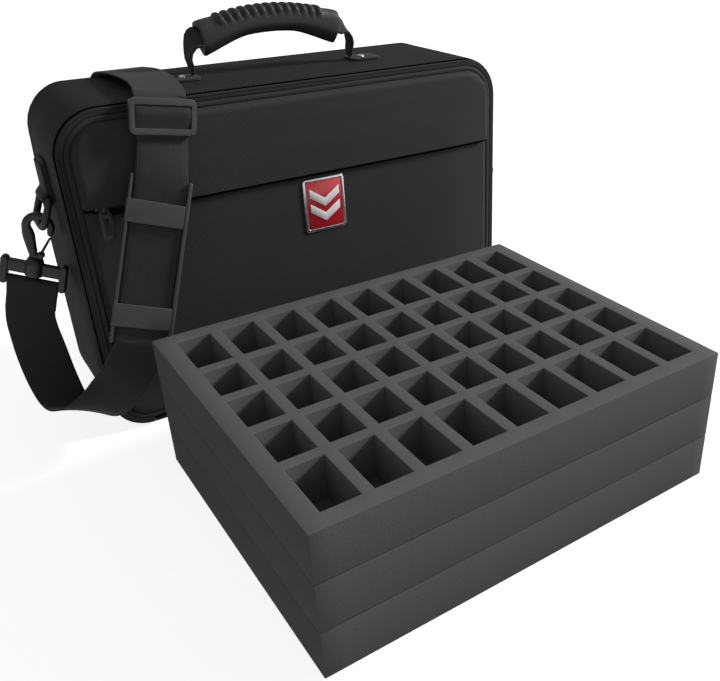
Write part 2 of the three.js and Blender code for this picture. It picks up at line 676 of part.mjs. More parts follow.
// The left hook's frame: x across its strap, z up its shank
const hookUp = V(
  Math.sin(rad(HOOK_LEAN)) * Math.cos(rad(HOOK_TURN)),
  -Math.sin(rad(HOOK_LEAN)) * Math.sin(rad(HOOK_TURN)), Math.cos(rad(HOOK_LEAN)));
const hookAcross = V(
  Math.cos(rad(HOOK_LEAN)) * Math.cos(rad(HOOK_TURN)),
  -Math.cos(rad(HOOK_LEAN)) * Math.sin(rad(HOOK_TURN)), -Math.sin(rad(HOOK_LEAN)));
const hookFrame = frameAt(HOOK_AT, hookAcross, hookUp);

// Swivel snap hook: strap frame with collar, hook on a headed shank, sprung gate
function makeHook() {
  const t = HOOK_T / 2;
  const end = FRAME_L / 2;
  const barZ = HOOK_FRAME_BAR_Z;
  const frame = cut(
    joined(
      cut(plate(roundRect(-end, end, barZ - 5, 4, 4), -t, t),
        box(-end + FRAME_RAIL, end - FRAME_RAIL, -t - 1, t + 1, barZ - 9, -3.5)),
      rod([-end + 2, 0, barZ], [end - 2, 0, barZ], HOOK_FRAME_BAR_R, 12),
      rod([0, 0, -3.5], [0, 0, 6.4], COLLAR_R, 20)),
    rod([0, 0, -8], [0, 0, 9], SHANK_R + GAP, 16));
  const [pivotX, pivotZ] = GATE_AT;
  const outer = EYE_R + HOOK_BAR;
  const profile = [
    [-6.5, 6.8], [5.4, 6.8], [6.6, 8.2], [6.6, 11.4], [5.6, 12.4], [-2.6, 12.4], [-5, 14.6],
    [-6.1, 18], ...arc(0, EYE_Z, EYE_R, 180, 0, 10), [6.5, EYE_Z - 3], [6.8, EYE_Z - 5.8],
    [9.4, EYE_Z - 6.3], [outer - 0.1, EYE_Z - 3.4], ...arc(0, EYE_Z, outer, 0, 180, 12),
    [-outer, 14], [-8.8, 9.2],
  ];
  const hook = cut(
    joined(plate(profile, -t, t), rod([0, 0, -6.2], [0, 0, 8], SHANK_R, 16),
      rod([0, 0, -6.2], [0, 0, -3.8], SHANK_R + 1.8, 16)),
    box(pivotX - 2.6, 8, -GATE_W / 2 - GAP, GATE_W / 2 + GAP, pivotZ - 2.4, 14),
    rod([pivotX, -t - 1, pivotZ], [pivotX, t + 1, pivotZ], PIVOT_R + GAP, 14));
  const tipZ = EYE_Z - 4.2;
  const lever = plate([
    [pivotX - 1.4, pivotZ], [pivotX + 1.4, pivotZ], [pivotX + 2.6, tipZ],
    [pivotX + 2.6 - GATE_T, tipZ]], -GATE_W / 2, GATE_W / 2);
  const gate = joined(lever,
    rod([pivotX, -GATE_W / 2, pivotZ], [pivotX, GATE_W / 2, pivotZ], 2.1, 14),
    rod([pivotX, -t + 0.2, pivotZ], [pivotX, t - 0.2, pivotZ], PIVOT_R, 14));
  const flip = new THREE.Matrix4().makeScale(-1, 1, 1);
  const leftHook = groupAt(hookFrame);
  const rightHook = groupAt(flip.clone().multiply(hookFrame).multiply(flip));
  for (const [name, geometry, material] of [
    ['hook_frame', frame, plastic], ['hook', hook, plastic], ['hook_gate', gate, steel]]) {
    place(`${name}_left`, geometry, material, leftHook);
    place(`${name}_right`, mirrored(geometry), material, rightHook);
  }
}

// The strap's sewn end round the left hook's frame, from the main run to its tail
function hookLoop() {
  const lap = (STRAP_T + GAP) / 2;
  const wrap = HOOK_FRAME_BAR_R + GAP + STRAP_T / 2;
  const z = HOOK_FRAME_BAR_Z;
  const route = [
    [-lap, z - 26], [-lap, z - 19], [-lap, z - 12], [-lap - 1.2, z - 7],
    ...arc(0, z, wrap, 205, -25, 12),
    [lap + 1.2, z - 7], [lap, z - 12], [lap, z - 24],
  ];
  return route.map(([y, up]) => ({
    at: V(0, y, up).applyMatrix4(hookFrame), across: hookAcross.clone(), width: STRAP_W }));
}

const buckleFrame = frameAt(fromCorner(BUCKLE_AT), V(0.985, 0, -0.17), V(0.17, 0.03, 0.98));
const padFoot = fromCorner(PAD_FOOT);
const padTop = fromCorner(PAD_TOP);
const PAD_L = padTop.distanceTo(padFoot);
const padFrame = frameAt(padFoot, V(0.908, -0.3, -0.419), padTop.clone().sub(padFoot));

// Shoulder strap: one length of webbing from the right hook, behind and over the case, to the left
function makeStrap() {
  const padAcross = V(1, 0, 0).transformDirection(padFrame);
  const buckleAcross = V(1, 0, 0).transformDirection(buckleFrame);
  const onPad = (z) => [V(0, 0, z).applyMatrix4(padFrame), padAcross];
  const onBuckle = (share) => [
    V(0, 0, (share * BUCKLE_H) / 2).applyMatrix4(buckleFrame), buckleAcross];
  // The run is placed by its named distances from the case: along x, y and z in turn.
  const right = (share) => SIDE_X + share * STRAP_OUT;
  const left = (share) => -SIDE_X - share * STRAP_OUT;
  const inside = (share) => -SIDE_X + share * STRAP_IN;
  const ahead = (share) => FRONT_Y - share * STRAP_AHEAD;
  const mid = (share) => share * BACK_Y;
  const behind = (share) => BACK_Y + share * STRAP_BEHIND;
  const up = (share) => share * HOOK_AT.z;
  const over = (share) => CASE_H + share * STRAP_OVER;
  const flat = 0.95 * STRAP_T;
  const placed = [
    [V(right(1), mid(0.13), up(0.6)), V(0.86, 0.44, 0.2)],
    [V(right(0.89), mid(0.39), up(0.4)), V(0.84, 0.52, 0.12)],
    [V(right(0.72), mid(0.92), up(0.215)), V(0.76, 0.64, 0.1)],
    [V(right(0.06), behind(0.58), up(0.08)), V(0.6, 0.8, 0.02)],
    [V(right(-1.1), behind(0.86), 2 * flat), V(0.36, 0.93, 0)],
    [V(right(-2.2), behind(0.98), flat), V(0.05, 1, 0)],
    [V(0.3 * SIDE_X, behind(1), flat), V(0, 1, 0)],
    [V(-0.1 * SIDE_X, behind(1), flat), V(0, 1, 0)],
    [V(inside(1.65), behind(0.98), 1.15 * flat), V(0, 1, 0)],
    [V(inside(1.24), behind(0.9), up(0.06)), V(0.02, 1, 0)],
    [V(inside(1.03), behind(0.78), up(0.21)), V(0.1, 0.99, 0)],
    [V(inside(0.92), behind(0.64), up(0.48)), V(0.3, 0.95, 0)],
    [V(inside(0.89), behind(0.54), up(0.81)), V(0.6, 0.8, 0)],
    [V(inside(0.89), behind(0.46), up(1.13)), V(0.86, 0.5, 0)],
    [V(inside(0.9), behind(0.36), over(-6.2)), V(0.98, 0.2, 0)],
    [V(inside(0.92), behind(0.22), over(-2)), V(1, 0, 0)],
    [V(inside(0.95), behind(0), over(0.1)), V(1, 0, 0)],
    [V(inside(0.98), mid(0.52), over(0.75)), V(1, 0, 0)],
    [V(inside(1), 0, over(1)), V(1, 0, 0)],
    [V(inside(1), mid(-0.52), over(0.95)), V(0.995, 0, -0.06)],
    [V(inside(0.97), mid(-0.95), over(0.65)), V(0.99, 0, -0.12)],
    [V(inside(0.93), ahead(0.2), over(0.42)), V(0.985, 0, -0.165)],
    onBuckle(0.57), onBuckle(-0.29), onBuckle(-1.07),
    [V(inside(0.825), ahead(0.45), over(-4.6)), V(0.98, -0.1, -0.22)],
    onPad(PAD_L + 0.9 * PAD_HORN), onPad(PAD_L), onPad(PAD_L * 0.6), onPad(PAD_L * 0.2),
    onPad(-0.5 * PAD_TAIL), onPad(-1.14 * PAD_TAIL),
    [V(inside(0.124), ahead(0.934), up(0.52)), V(0.75, -0.38, -0.55)],
    [V(inside(0.01), ahead(0.69), up(0.4)), V(0.67, -0.32, -0.67)],
    [V(left(0.31), ahead(0.38), up(0.28)), V(0.68, -0.05, -0.73)],
    [V(left(0.66), mid(-0.98), up(0.22)), V(0.78, 0.3, -0.54)],
    [V(left(0.88), mid(-0.68), up(0.23)), V(0.93, 0.32, -0.2)],
    [V(left(0.98), mid(-0.38), up(0.325)), V(0.99, 0.12, -0.06)],
    [V(left(1), mid(-0.1), up(0.5)), V(0.97, -0.18, -0.12)],
  ];
  const end = hookLoop();
  const begin = hookLoop().map(({ at, across, width }) => ({
    at: V(-at.x, at.y, at.z), across: V(across.x, -across.y, -across.z), width }));
  const run = smoothStations(
    [[begin[0].at, begin[0].across], ...placed, [end[0].at, end[0].across]], 3, STRAP_W);
  const stations = [...begin.slice(1).reverse(), ...run, ...end.slice(1)];
  place('strap_webbing', ribbon(stations, STRAP_T), webbing);

  const slideHalf = FRAME_L / 2;
  const clear = STRAP_CLEAR;
  const bar = (z, y0, y1) => plate(
    roundRect(-slideHalf + 2, slideHalf - 2, z - BUCKLE_BAR / 2, z + BUCKLE_BAR / 2, 1, 2), y0, y1);
  const rail = (x0, x1) => plate(
    roundRect(x0, x1, -BUCKLE_H / 2, BUCKLE_H / 2, 1.8, 2), -clear - BUCKLE_T, clear + BUCKLE_T);
  const barZ = (BUCKLE_H - BUCKLE_BAR) / 2;
  place('strap_slide', joined(
    bar(barZ, -clear - BUCKLE_T, -clear), bar(-barZ, -clear - BUCKLE_T, -clear),
    bar(0, clear, clear + BUCKLE_T), rail(-slideHalf, -slideHalf + FRAME_RAIL),
    rail(slideHalf - FRAME_RAIL, slideHalf)), plastic, groupAt(buckleFrame));

  const w = PAD_W / 2;
  const front = -clear - PAD_BAR_T;
  const back = clear + PAD_BACK_T;
  const edge = w - PAD_RAIL;
  const padRail = (x0, x1) => plate(
    roundRect(x0, x1, -PAD_TAIL, PAD_L + PAD_HORN, 1.6, 3), front, back);
  place('shoulder_pad', joined(
    plate(roundRect(-w + 1, w - 1, 0, PAD_L, 3), clear, back),
    plate(roundRect(-w + 1, w - 1, 0, PAD_BAR, 2.5), front, -clear),
    plate(roundRect(-w + 1, w - 1, PAD_L - PAD_BAR, PAD_L, 2.5), front, -clear),
    padRail(-w, -edge), padRail(edge, w)), plastic, groupAt(padFrame));
}

// Foam trays: a grid of cut-out cells glued to a base sheet, standing in a stack
function makeTrays() {
  const backY = FRONT_Y - TRAY_AHEAD;
  const x0 = TRAY_OFFSET_X - TRAY_L / 2;
  const y0 = backY - TRAY_D;
  const rows = [END_ROW_D, MIDDLE_ROW_D, MIDDLE_ROW_D, MIDDLE_ROW_D, END_ROW_D];
  const edgeX = (TRAY_L - CELL_COLUMNS * CELL_W - (CELL_COLUMNS - 1) * CELL_WALL_X) / 2;
  const depth = rows.reduce((a, b) => a + b) + (rows.length - 1) * CELL_WALL_Y;
  const gridZ = TRAY_BASE_T + GAP;
  const topZ = gridZ + CELL_DEPTH - GAP;
  const cells = [];
  let y = y0 + (TRAY_D - depth) / 2;
  for (const row of rows) {
    for (let i = 0; i < CELL_COLUMNS; i++) {
      const x = x0 + edgeX + i * (CELL_W + CELL_WALL_X);
      cells.push(box(x, x + CELL_W, y, y + row, gridZ - 1, topZ + 1));
    }
    y += row + CELL_WALL_Y;
  }
  const sheet = box(x0, x0 + TRAY_L, y0, y0 + TRAY_D, 0, TRAY_BASE_T);
  const grid = cut(box(x0, x0 + TRAY_L, y0, y0 + TRAY_D, gridZ, topZ), ...cells);
  for (let n = 0; n < TRAY_COUNT; n++) {
    const tray = groupAt(new THREE.Matrix4().makeTranslation(0, 0, n * TRAY_H));
    place(`tray_${n + 1}_base`, sheet.clone(), foam, tray);
    place(`tray_${n + 1}_grid`, grid.clone(), foam, tray);
  }
}

makeShell();
makeDoor();
makePocket();
makeUpperPanel();
makeBadge();
makeMainSlider();
makePocketSlider();
makeHandle();
makeRing();
makeHook();
makeStrap();
makeTrays();

export default carryCase;
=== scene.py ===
"""Looks of the miniature carry case: cloth, webbing, moulded parts and foam trays."""
import json
import math

import bmesh
import bpy
from mathutils import Matrix, Vector

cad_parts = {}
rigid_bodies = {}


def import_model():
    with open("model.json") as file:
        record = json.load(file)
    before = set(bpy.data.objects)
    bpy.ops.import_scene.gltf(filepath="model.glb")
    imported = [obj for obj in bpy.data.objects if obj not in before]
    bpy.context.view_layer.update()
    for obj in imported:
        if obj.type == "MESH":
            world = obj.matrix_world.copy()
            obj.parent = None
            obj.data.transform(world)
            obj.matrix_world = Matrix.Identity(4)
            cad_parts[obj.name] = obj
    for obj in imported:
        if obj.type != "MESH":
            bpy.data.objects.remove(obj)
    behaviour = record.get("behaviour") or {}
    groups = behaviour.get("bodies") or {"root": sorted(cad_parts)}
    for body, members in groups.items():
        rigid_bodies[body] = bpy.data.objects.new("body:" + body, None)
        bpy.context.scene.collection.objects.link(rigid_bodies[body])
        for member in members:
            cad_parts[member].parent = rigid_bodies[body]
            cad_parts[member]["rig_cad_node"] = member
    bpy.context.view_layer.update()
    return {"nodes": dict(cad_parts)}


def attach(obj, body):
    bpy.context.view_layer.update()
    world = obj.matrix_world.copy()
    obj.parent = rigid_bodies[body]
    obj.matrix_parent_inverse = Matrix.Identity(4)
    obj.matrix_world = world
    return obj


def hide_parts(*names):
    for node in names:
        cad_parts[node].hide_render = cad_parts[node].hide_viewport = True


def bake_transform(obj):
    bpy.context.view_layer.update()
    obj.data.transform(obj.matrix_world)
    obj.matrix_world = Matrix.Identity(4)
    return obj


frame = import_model()
MM = 0.001

# Sizes and levels of the case in millimetres
HALF_L = 208.0
CASE_H = 284.0
TOP_R = 38.0
BASE_R = 32.0
WALL = 2.8
FRONT_Y = -61.0
BACK_SEAM_Y = 54.0
BACK_Y = 61.0
SEAMS_Y = (-50.5, 45.0)
CORNER_PULL = 4.2
LAYER_Y = -61.3
TEETH_BACK_Y = -62.5
TEETH_Y = -64.3
PIPING_Y = -64.9
POCKET_Y = -67.9
FLY_Y = -71.9
LINING_INSET = 3.8
POCKET_INSET = 11.3
POCKET_ZIP_Z = 207.0
FLY_EDGE_Z = 203.0
FLY_GAP = 3.6
FLY_RISE = 5.0
FLY_RISE_X = -168.0
HANDLE_X = 3.0
HANDLE_Y = -4.0

# Colours as linear values
CLOTH = (0.0220, 0.0220, 0.0228)
# Gusset and back: the case cloth made darker, as painted shade for the shaded sides.
GUSSET_SHADED = (0.0138, 0.0138, 0.0144)
# Zip tape: made darker than the cloth as painted shade, to deepen the dark line at the main zip's
# seam.
TRIM_SHADED = (0.0150, 0.0150, 0.0156)
# Near black: painted shade, the shadow line in the groove between the gusset and the main zip.
SEAM_SHADE = (0.0006, 0.0006, 0.0007)
WEBBING = (0.0240, 0.0240, 0.0250)
PLASTIC = (0.0500, 0.0500, 0.0515)
DARK_PLASTIC = (0.0155, 0.0155, 0.0162)
RUBBER = (0.0220, 0.0220, 0.0228)
FOAM = (0.0880, 0.0890, 0.0920)
STEEL = (0.72, 0.73, 0.75)
DARK_STEEL = (0.025, 0.025, 0.027)
RED = (0.520, 0.012, 0.022)
WHITE = (0.86, 0.86, 0.85)


class Wire:
    """A shader value that takes part in sums and products, each of which adds a Math node."""

    def __init__(self, finish, socket):
        self.finish = finish
        self.socket = socket

    def math(self, operation, *others):
        return self.finish.node("ShaderNodeMath", {"operation": operation}, [self, *others])

    def __add__(self, other):
        return self.math("ADD", other)

    def __mul__(self, other):
        return self.math("MULTIPLY", other)

    def __truediv__(self, other):
        return self.math("DIVIDE", other)

    __radd__ = __add__

    def sine(self):
        return self.math("SINE")


class Finish:
    """One material of the case, with the shader's plain numbers set on its own sockets."""

    def __init__(self, name, slot, roughness, **plain):
        self.slot = slot
        self.material = bpy.data.materials.new(name)
        self.material.use_nodes = True
        self.tree = self.material.node_tree
        self.shader = self.tree.nodes["Principled BSDF"]
        self.shader.inputs["Roughness"].default_value = roughness
        for key, value in plain.items():
            self.shader.inputs[key.replace("_", " ")].default_value = value
        self.bump = None

    def node(self, kind, settings=None, inputs=(), output=0):
        node = self.tree.nodes.new(kind)
        for key, value in (settings or {}).items():
            setattr(node, key, value)
        pairs = inputs.items() if isinstance(inputs, dict) else enumerate(inputs)
        for key, value in pairs:
            self.feed(value, node.inputs[key])
        return Wire(self, node.outputs[output])

    def feed(self, value, socket):
        if isinstance(value, Wire):
            self.tree.links.new(value.socket, socket)
        else:
            socket.default_value = value

    def place(self):
        """Object coordinates in metres."""
        return self.node("ShaderNodeTexCoord", output="Object")

    def split(self, spot, count):
        """The first parts of a vector."""
        outputs = self.node("ShaderNodeSeparateXYZ", inputs=[spot]).socket.node.outputs
        return [Wire(self, outputs[k]) for k in range(count)]

    def cloth_place(self):
        """The piece's own flat coordinates: across and along, in millimetres."""
        return self.split(self.node("ShaderNodeUVMap", {"uv_map": "flat"}), 2)

    def noise(self, spot, scale, detail=2.0, roughness=0.5):
        return self.node("ShaderNodeTexNoise", None, {
            "Vector": spot, "Scale": scale, "Detail": detail, "Roughness": roughness})

    def mix(self, factor, first, second):
        """A colour between two."""
        first, second = [c if isinstance(c, Wire) else (*c, 1.0) for c in (first, second)]
        return self.node("ShaderNodeMix", {"data_type": "RGBA"},
                         {0: factor, 6: first, 7: second}, output=2)

    def colour(self, value):
        self.feed(value if isinstance(value, Wire) else (*value, 1.0),
                  self.shader.inputs["Base Color"])

    def rough(self, value):
        self.feed(value, self.shader.inputs["Roughness"])

    def relief(self, height, depth):
        """Bump from a height of 0 to 1 that stands depth metres tall."""
        inputs = {"Height": height, "Strength": 1.0, "Distance": depth}
        if self.bump:
            inputs["Normal"] = self.bump
        self.bump = self.node("ShaderNodeBump", None, inputs)
        self.feed(self.bump, self.shader.inputs["Normal"])

    def on(self, piece):
        piece.data.materials.clear()
        piece.data.materials.append(self.material)
        for face in piece.data.polygons:
            face.material_index = 0
        "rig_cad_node" not in piece


def shade(colour, factor):
    return tuple(c * factor for c in colour)


def woven_cloth(name, colour, pitch=1.0, slot="cloth", gloss=0.25, sheen=0.03):
    """Fine plain weave with a slightly uneven dye and a faint sheen."""
    f = Finish(name, slot, 0.8, Sheen_Weight=sheen, Sheen_Roughness=0.5, Specular_IOR_Level=gloss)
    spot = f.place()
    x, y, z = f.split(spot, 3)
    turn = 2 * math.pi / (pitch * MM)
    weave = ((x * turn).sine() + (y * turn).sine() + (z * turn).sine()) / 6.0 + 0.5
    fibre = f.noise(spot, 900.0, 2.0)
    patches = f.noise(spot, 9.0, 3.0, 0.6)
    tone = weave * 0.4 + fibre * 0.35 + patches * 0.5
    f.colour(f.mix(tone, shade(colour, 0.66), shade(colour, 1.4)))
    f.rough(0.72 + fibre * 0.2)
    f.relief(weave, 0.00015)
    f.relief(fibre, 0.0001)
    return f


def ribbed_webbing(name, colour):
    """Woven strap: ribs along it and picks across it."""
    f = Finish(name, "webbing", 0.78, Sheen_Weight=0.03, Sheen_Roughness=0.5,
               Specular_IOR_Level=0.25)
    spot = f.place()
    across, along = f.cloth_place()
    ribs = (across * (2 * math.pi / 2.1)).sine()
    picks = (along * (2 * math.pi / 2.0)).sine()
    weave = (ribs * picks) * 0.22 + ribs * 0.16 + 0.5
    fibre = f.noise(spot, 1100.0, 2.0)
    patches = f.noise(spot, 14.0, 2.0)
    f.colour(f.mix(weave * 0.55 + fibre * 0.3 + patches * 0.2,
                   shade(colour, 0.5), shade(colour, 1.5)))
    f.rough(0.68 + fibre * 0.2)
    f.relief(weave, 0.00014)
    f.relief(fibre, 0.00008)
    return f


def moulded_plastic(name, colour, slot="buckles", roughness=0.42):
    """Satin moulding with a fine spark-eroded grain."""
    f = Finish(name, slot, roughness, Specular_IOR_Level=0.4)
    spot = f.place()
    grain = f.noise(spot, 2600.0, 2.0)
    wear = f.noise(spot, 45.0, 3.0)
    f.colour(f.mix(wear, shade(colour, 0.86), shade(colour, 1.16)))
    f.rough(grain * 0.16 + wear * 0.12 + (roughness - 0.12))
    f.relief(grain, 0.00005)
    return f


def closed_foam(name, colour):
    """Closed-cell foam: fine open pores on the cut faces, matt all over."""
    f = Finish(name, "foam", 0.92, Specular_IOR_Level=0.2)
    spot = f.place()
    pores = f.node("ShaderNodeTexVoronoi", {"feature": "F1"},
                   {"Vector": spot, "Scale": 1300.0}).math("MINIMUM", 1.0)
    bloom = f.noise(spot, 22.0, 3.0, 0.55)
    speck = f.noise(spot, 1500.0, 1.0)
    f.colour(f.mix(bloom * 0.5 + speck * 0.5, shade(colour, 0.88), shade(colour, 1.12)))
    f.rough(0.86 + speck * 0.12)
    f.relief(pores, 0.00012)
    return f


def plated_steel(name, colour=STEEL, roughness=0.18):
    f = Finish(name, "metal", 0.24, Metallic=1.0)
    spot = f.place()
    smear = f.noise(spot, 120.0, 3.0)
    f.colour(f.mix(smear, shade(colour, 0.9), colour))
    f.rough(roughness + smear * 0.14)
    return f


def enamel(name, colour, slot):
    f = Finish(name, slot, 0.28, Coat_Weight=0.5, Coat_Roughness=0.12)
    spot = f.place()
    flow = f.noise(spot, 90.0, 2.0)
    f.colour(f.mix(flow, shade(colour, 0.94), colour))
    f.relief(flow, 0.00008)
    return f


cloth = woven_cloth("case cloth", CLOTH)
# A darker copy of the case cloth without sheen: painted shade, so the gusset, back, lining and hem
# render as shaded sides.
shaded_side_cloth = woven_cloth("side cloth with painted shade", GUSSET_SHADED, gloss=0.13, sheen=0.0)
# Zip tape darkened as painted shade for the seam line.
zip_tape = woven_cloth("zip tape with painted shade", TRIM_SHADED, 1.1, slot="trim")
# Near black, without gloss or sheen: painted shade for the groove beside the main zip.
seam_shade_finish = woven_cloth("painted seam shadow", SEAM_SHADE, 0.5, slot="trim", gloss=0.0, sheen=0.0)
thread = woven_cloth("thread", shade(CLOTH, 1.5), 0.5, slot="trim")
webbing = ribbed_webbing("strap webbing", WEBBING)
patch_webbing = woven_cloth("patch webbing", WEBBING, 1.2, slot="webbing")
plastic = moulded_plastic("moulded plastic", PLASTIC)
dark_plastic = moulded_plastic("dark moulded plastic", DARK_PLASTIC)
rubber = moulded_plastic("grip rubber", RUBBER, slot="grip", roughness=0.62)
foam = closed_foam("tray foam", FOAM)
steel = plated_steel("plated steel")
spring_steel = plated_steel("blackened spring steel", DARK_STEEL, 0.45)
red_enamel = enamel("red enamel", RED, "badge_field")
white_enamel = enamel("white enamel", WHITE, "badge_mark")


def frame_at(at, across, up):
    """A frame in millimetres with z along up and x across it."""
    z = up.normalized()
    x = (across - z * across.dot(z)).normalized()
    return Matrix.Translation(at) @ Matrix((x, z.cross(x), z)).transposed().to_4x4()


def in_metres(place):
    """The same frame for a mesh that is already in metres."""
    scaled = place.copy()
    scaled.translation = place.translation * MM
    return scaled


def deselect():
    if bpy.context.object and bpy.context.object.mode != "OBJECT":
        bpy.ops.object.mode_set(mode="OBJECT")
    bpy.ops.object.select_all(action="DESELECT")


def activate(piece):
    deselect()
    piece.select_set(True)
    bpy.context.view_layer.objects.active = piece


def apply_modifier(piece, kind, **settings):
    activate(piece)
    modifier = piece.modifiers.new(kind.lower(), kind)
    for key, value in settings.items():
        setattr(modifier, key, value)
    bpy.ops.object.modifier_apply(modifier=modifier.name)


def smooth(piece):
    activate(piece)
    bpy.ops.object.shade_smooth_by_angle(angle=math.radians(40))


def settle(piece, finish, body, nodes=()):
    """Gives a piece its finish and shading, the solids it replaces and the body it rides."""
    finish.on(piece)
    smooth(piece)
    if nodes:
        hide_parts(*nodes)
    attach(piece, body)
    deselect()
    return piece


def laid(name, rows, flat=None, closed=False, capped=False):
    """A cut piece of cloth, laid out as a grid and formed to rows of points in millimetres."""
    deselect()
    across = len(rows[0])
    bpy.ops.mesh.primitive_grid_add(x_subdivisions=across - 1, y_subdivisions=len(rows) - 1,
                                    size=1.0)
    piece = bpy.context.object
    piece.name = name
    mesh = piece.data
    mesh.name = name
    points = [Vector(p) * MM for row in rows for p in row]
    for vertex, point in zip(mesh.vertices, points, strict=True):
        vertex.co = point
    layer = mesh.uv_layers[0]
    layer.name = "flat"
    if flat is None:
        flat = [measured(row) for row in zip(*rows)]
        widths = measured(rows[len(rows) // 2])
        flat = [[(widths[i], flat[i][j]) for i in range(across)] for j in range(len(rows))]
    places = [p for row in flat for p in row]
    for loop in mesh.loops:
        layer.data[loop.index].uv = places[loop.vertex_index]
    bpy.ops.object.mode_set(mode="EDIT")
    bpy.ops.mesh.select_all(action="SELECT")
    if closed or capped:
        bpy.ops.mesh.remove_doubles(threshold=1e-6)
    if capped:
        bpy.ops.mesh.select_all(action="DESELECT")
        bpy.ops.mesh.select_mode(type="EDGE")
        bpy.ops.mesh.select_non_manifold()
        bpy.ops.mesh.fill_holes(sides=0)
    bpy.ops.mesh.select_all(action="SELECT")
    bpy.ops.mesh.normals_make_consistent(inside=False)
    bpy.ops.object.mode_set(mode="OBJECT")
    return piece


def measured(points):
    """Distance along a row of points, from its first."""
    total, out = 0.0, [0.0]
    for a, b in zip(points, points[1:]):
        total += (Vector(b) - Vector(a)).length
        out.append(total)
    return out


def softened(node, finish, body, width, segments=2, angle=40.0, fatten=0.0):
    """A small piece taken from the frame's own solid, with its edges rounded."""
    mesh = frame["nodes"][node].data.copy()
    piece = bpy.data.objects.new(node + "_moulded", mesh)
    bpy.context.scene.collection.objects.link(piece)
    activate(piece)
    bpy.ops.object.mode_set(mode="EDIT")
    bpy.ops.mesh.select_all(action="SELECT")
    bpy.ops.mesh.remove_doubles(threshold=1e-6)
    bpy.ops.mesh.dissolve_limited(angle_limit=math.radians(1.5))
    if fatten:
        bpy.ops.mesh.normals_make_consistent(inside=False)
        bpy.ops.transform.shrink_fatten(value=fatten * MM)
    bpy.ops.object.mode_set(mode="OBJECT")
    apply_modifier(piece, "BEVEL", width=width * MM, segments=segments, limit_method="ANGLE",
                   angle_limit=math.radians(angle), use_clamp_overlap=True)
    return settle(piece, finish, body, [node])


def round_rect(x0, x1, z0, z1, radius, steps=4):
    """Outline of a rectangle with rounded corners."""
    spots = []
    for x, z, start in ((x1 - radius, z0 + radius, 270), (x1 - radius, z1 - radius, 0),
                        (x0 + radius, z1 - radius, 90), (x0 + radius, z0 + radius, 180)):
        for i in range(steps + 1):
            t = math.radians(start + 90.0 * i / steps)
            spots.append((x + radius * math.cos(t), z + radius * math.sin(t)))
    return spots


def moulding(name, points, low, high, place, edge=0.6, segments=3, slot=None):
    """A moulded plate: an outline in x and z drawn out along y, with rounded edges."""
    deselect()
    bpy.ops.mesh.primitive_circle_add(vertices=len(points), radius=1.0, fill_type="NGON")
    piece = bpy.context.object
    piece.name = name
    for vertex, (x, z) in zip(piece.data.vertices, points, strict=True):
        vertex.co = Vector((x, low, z)) * MM
    bpy.ops.object.mode_set(mode="EDIT")
    bpy.ops.mesh.select_all(action="SELECT")
    bpy.ops.mesh.extrude_region_move(
        TRANSFORM_OT_translate={"value": (0, (high - low) * MM, 0)})
    bpy.ops.mesh.select_all(action="SELECT")
    bpy.ops.mesh.normals_make_consistent(inside=False)
    bpy.ops.object.mode_set(mode="OBJECT")
    if slot:
        bpy.ops.mesh.primitive_cube_add(size=1.0)
        cutter = bpy.context.object
        for vertex in cutter.data.vertices:
            vertex.co = Vector([slot[k][vertex.co[k] > 0] for k in range(3)]) * MM
        apply_modifier(piece, "BOOLEAN", operation="DIFFERENCE", object=cutter, solver="EXACT")
        bpy.data.objects.remove(cutter)
    apply_modifier(piece, "BEVEL", width=edge * MM, segments=segments, limit_method="ANGLE",
                   angle_limit=math.radians(50), use_clamp_overlap=True)
    piece.data.transform(in_metres(place))
    return piece


def turned(name, profile, place, sides=28):
    """A turned form about its frame's z, from a profile of (radius, height)."""
    rows = []
    for radius, height in profile:
        row = [place @ Vector((radius * math.cos(2 * math.pi * k / sides),
                               radius * math.sin(2 * math.pi * k / sides), height))
               for k in range(sides)]
        rows.append([*row, row[0]])
    return laid(name, rows, closed=True, capped=True)


def swept(name, stations, depth, place, sides=16):
    """A rounded bar through stations of (x, z, half width) in the frame's own x and z."""
    rows = []
    for i, (x, z, half) in enumerate(stations):
        before, after = stations[max(i - 1, 0)], stations[min(i + 1, len(stations) - 1)]
        along = Vector((after[0] - before[0], 0, after[1] - before[1])).normalized()
        side = Vector((along.z, 0, -along.x))
        end = min(i, len(stations) - 1 - i)
        share = (0.45, 0.85, 1.0)[min(end, 2)]
        row = []
        for k in range(sides):
            t = 2 * math.pi * k / sides
            c, n = math.cos(t), math.sin(t)
            c, n = [math.copysign(abs(v) ** 0.75, v) * share for v in (c, n)]
            row.append(place @ (Vector((x, 0, z)) + side * (half * c) + Vector((0, depth * n, 0))))
        rows.append([*row, row[0]])
    return laid(name, rows, closed=True, capped=True)


def united(name, *pieces):
    """Several forms that are moulded as one piece."""
    activate(pieces[0])
    for piece in pieces:
        piece.select_set(True)
    bpy.ops.object.join()
    pieces[0].name = name
    return pieces[0]


def mirrored(piece, name):
    """The same form on the other side of the case."""
    mesh = piece.data.copy()
    mesh.transform(Matrix.Diagonal((-1, 1, 1, 1)))
    mesh.flip_normals()
    twin = bpy.data.objects.new(name, mesh)
    bpy.context.scene.collection.objects.link(twin)
    return twin


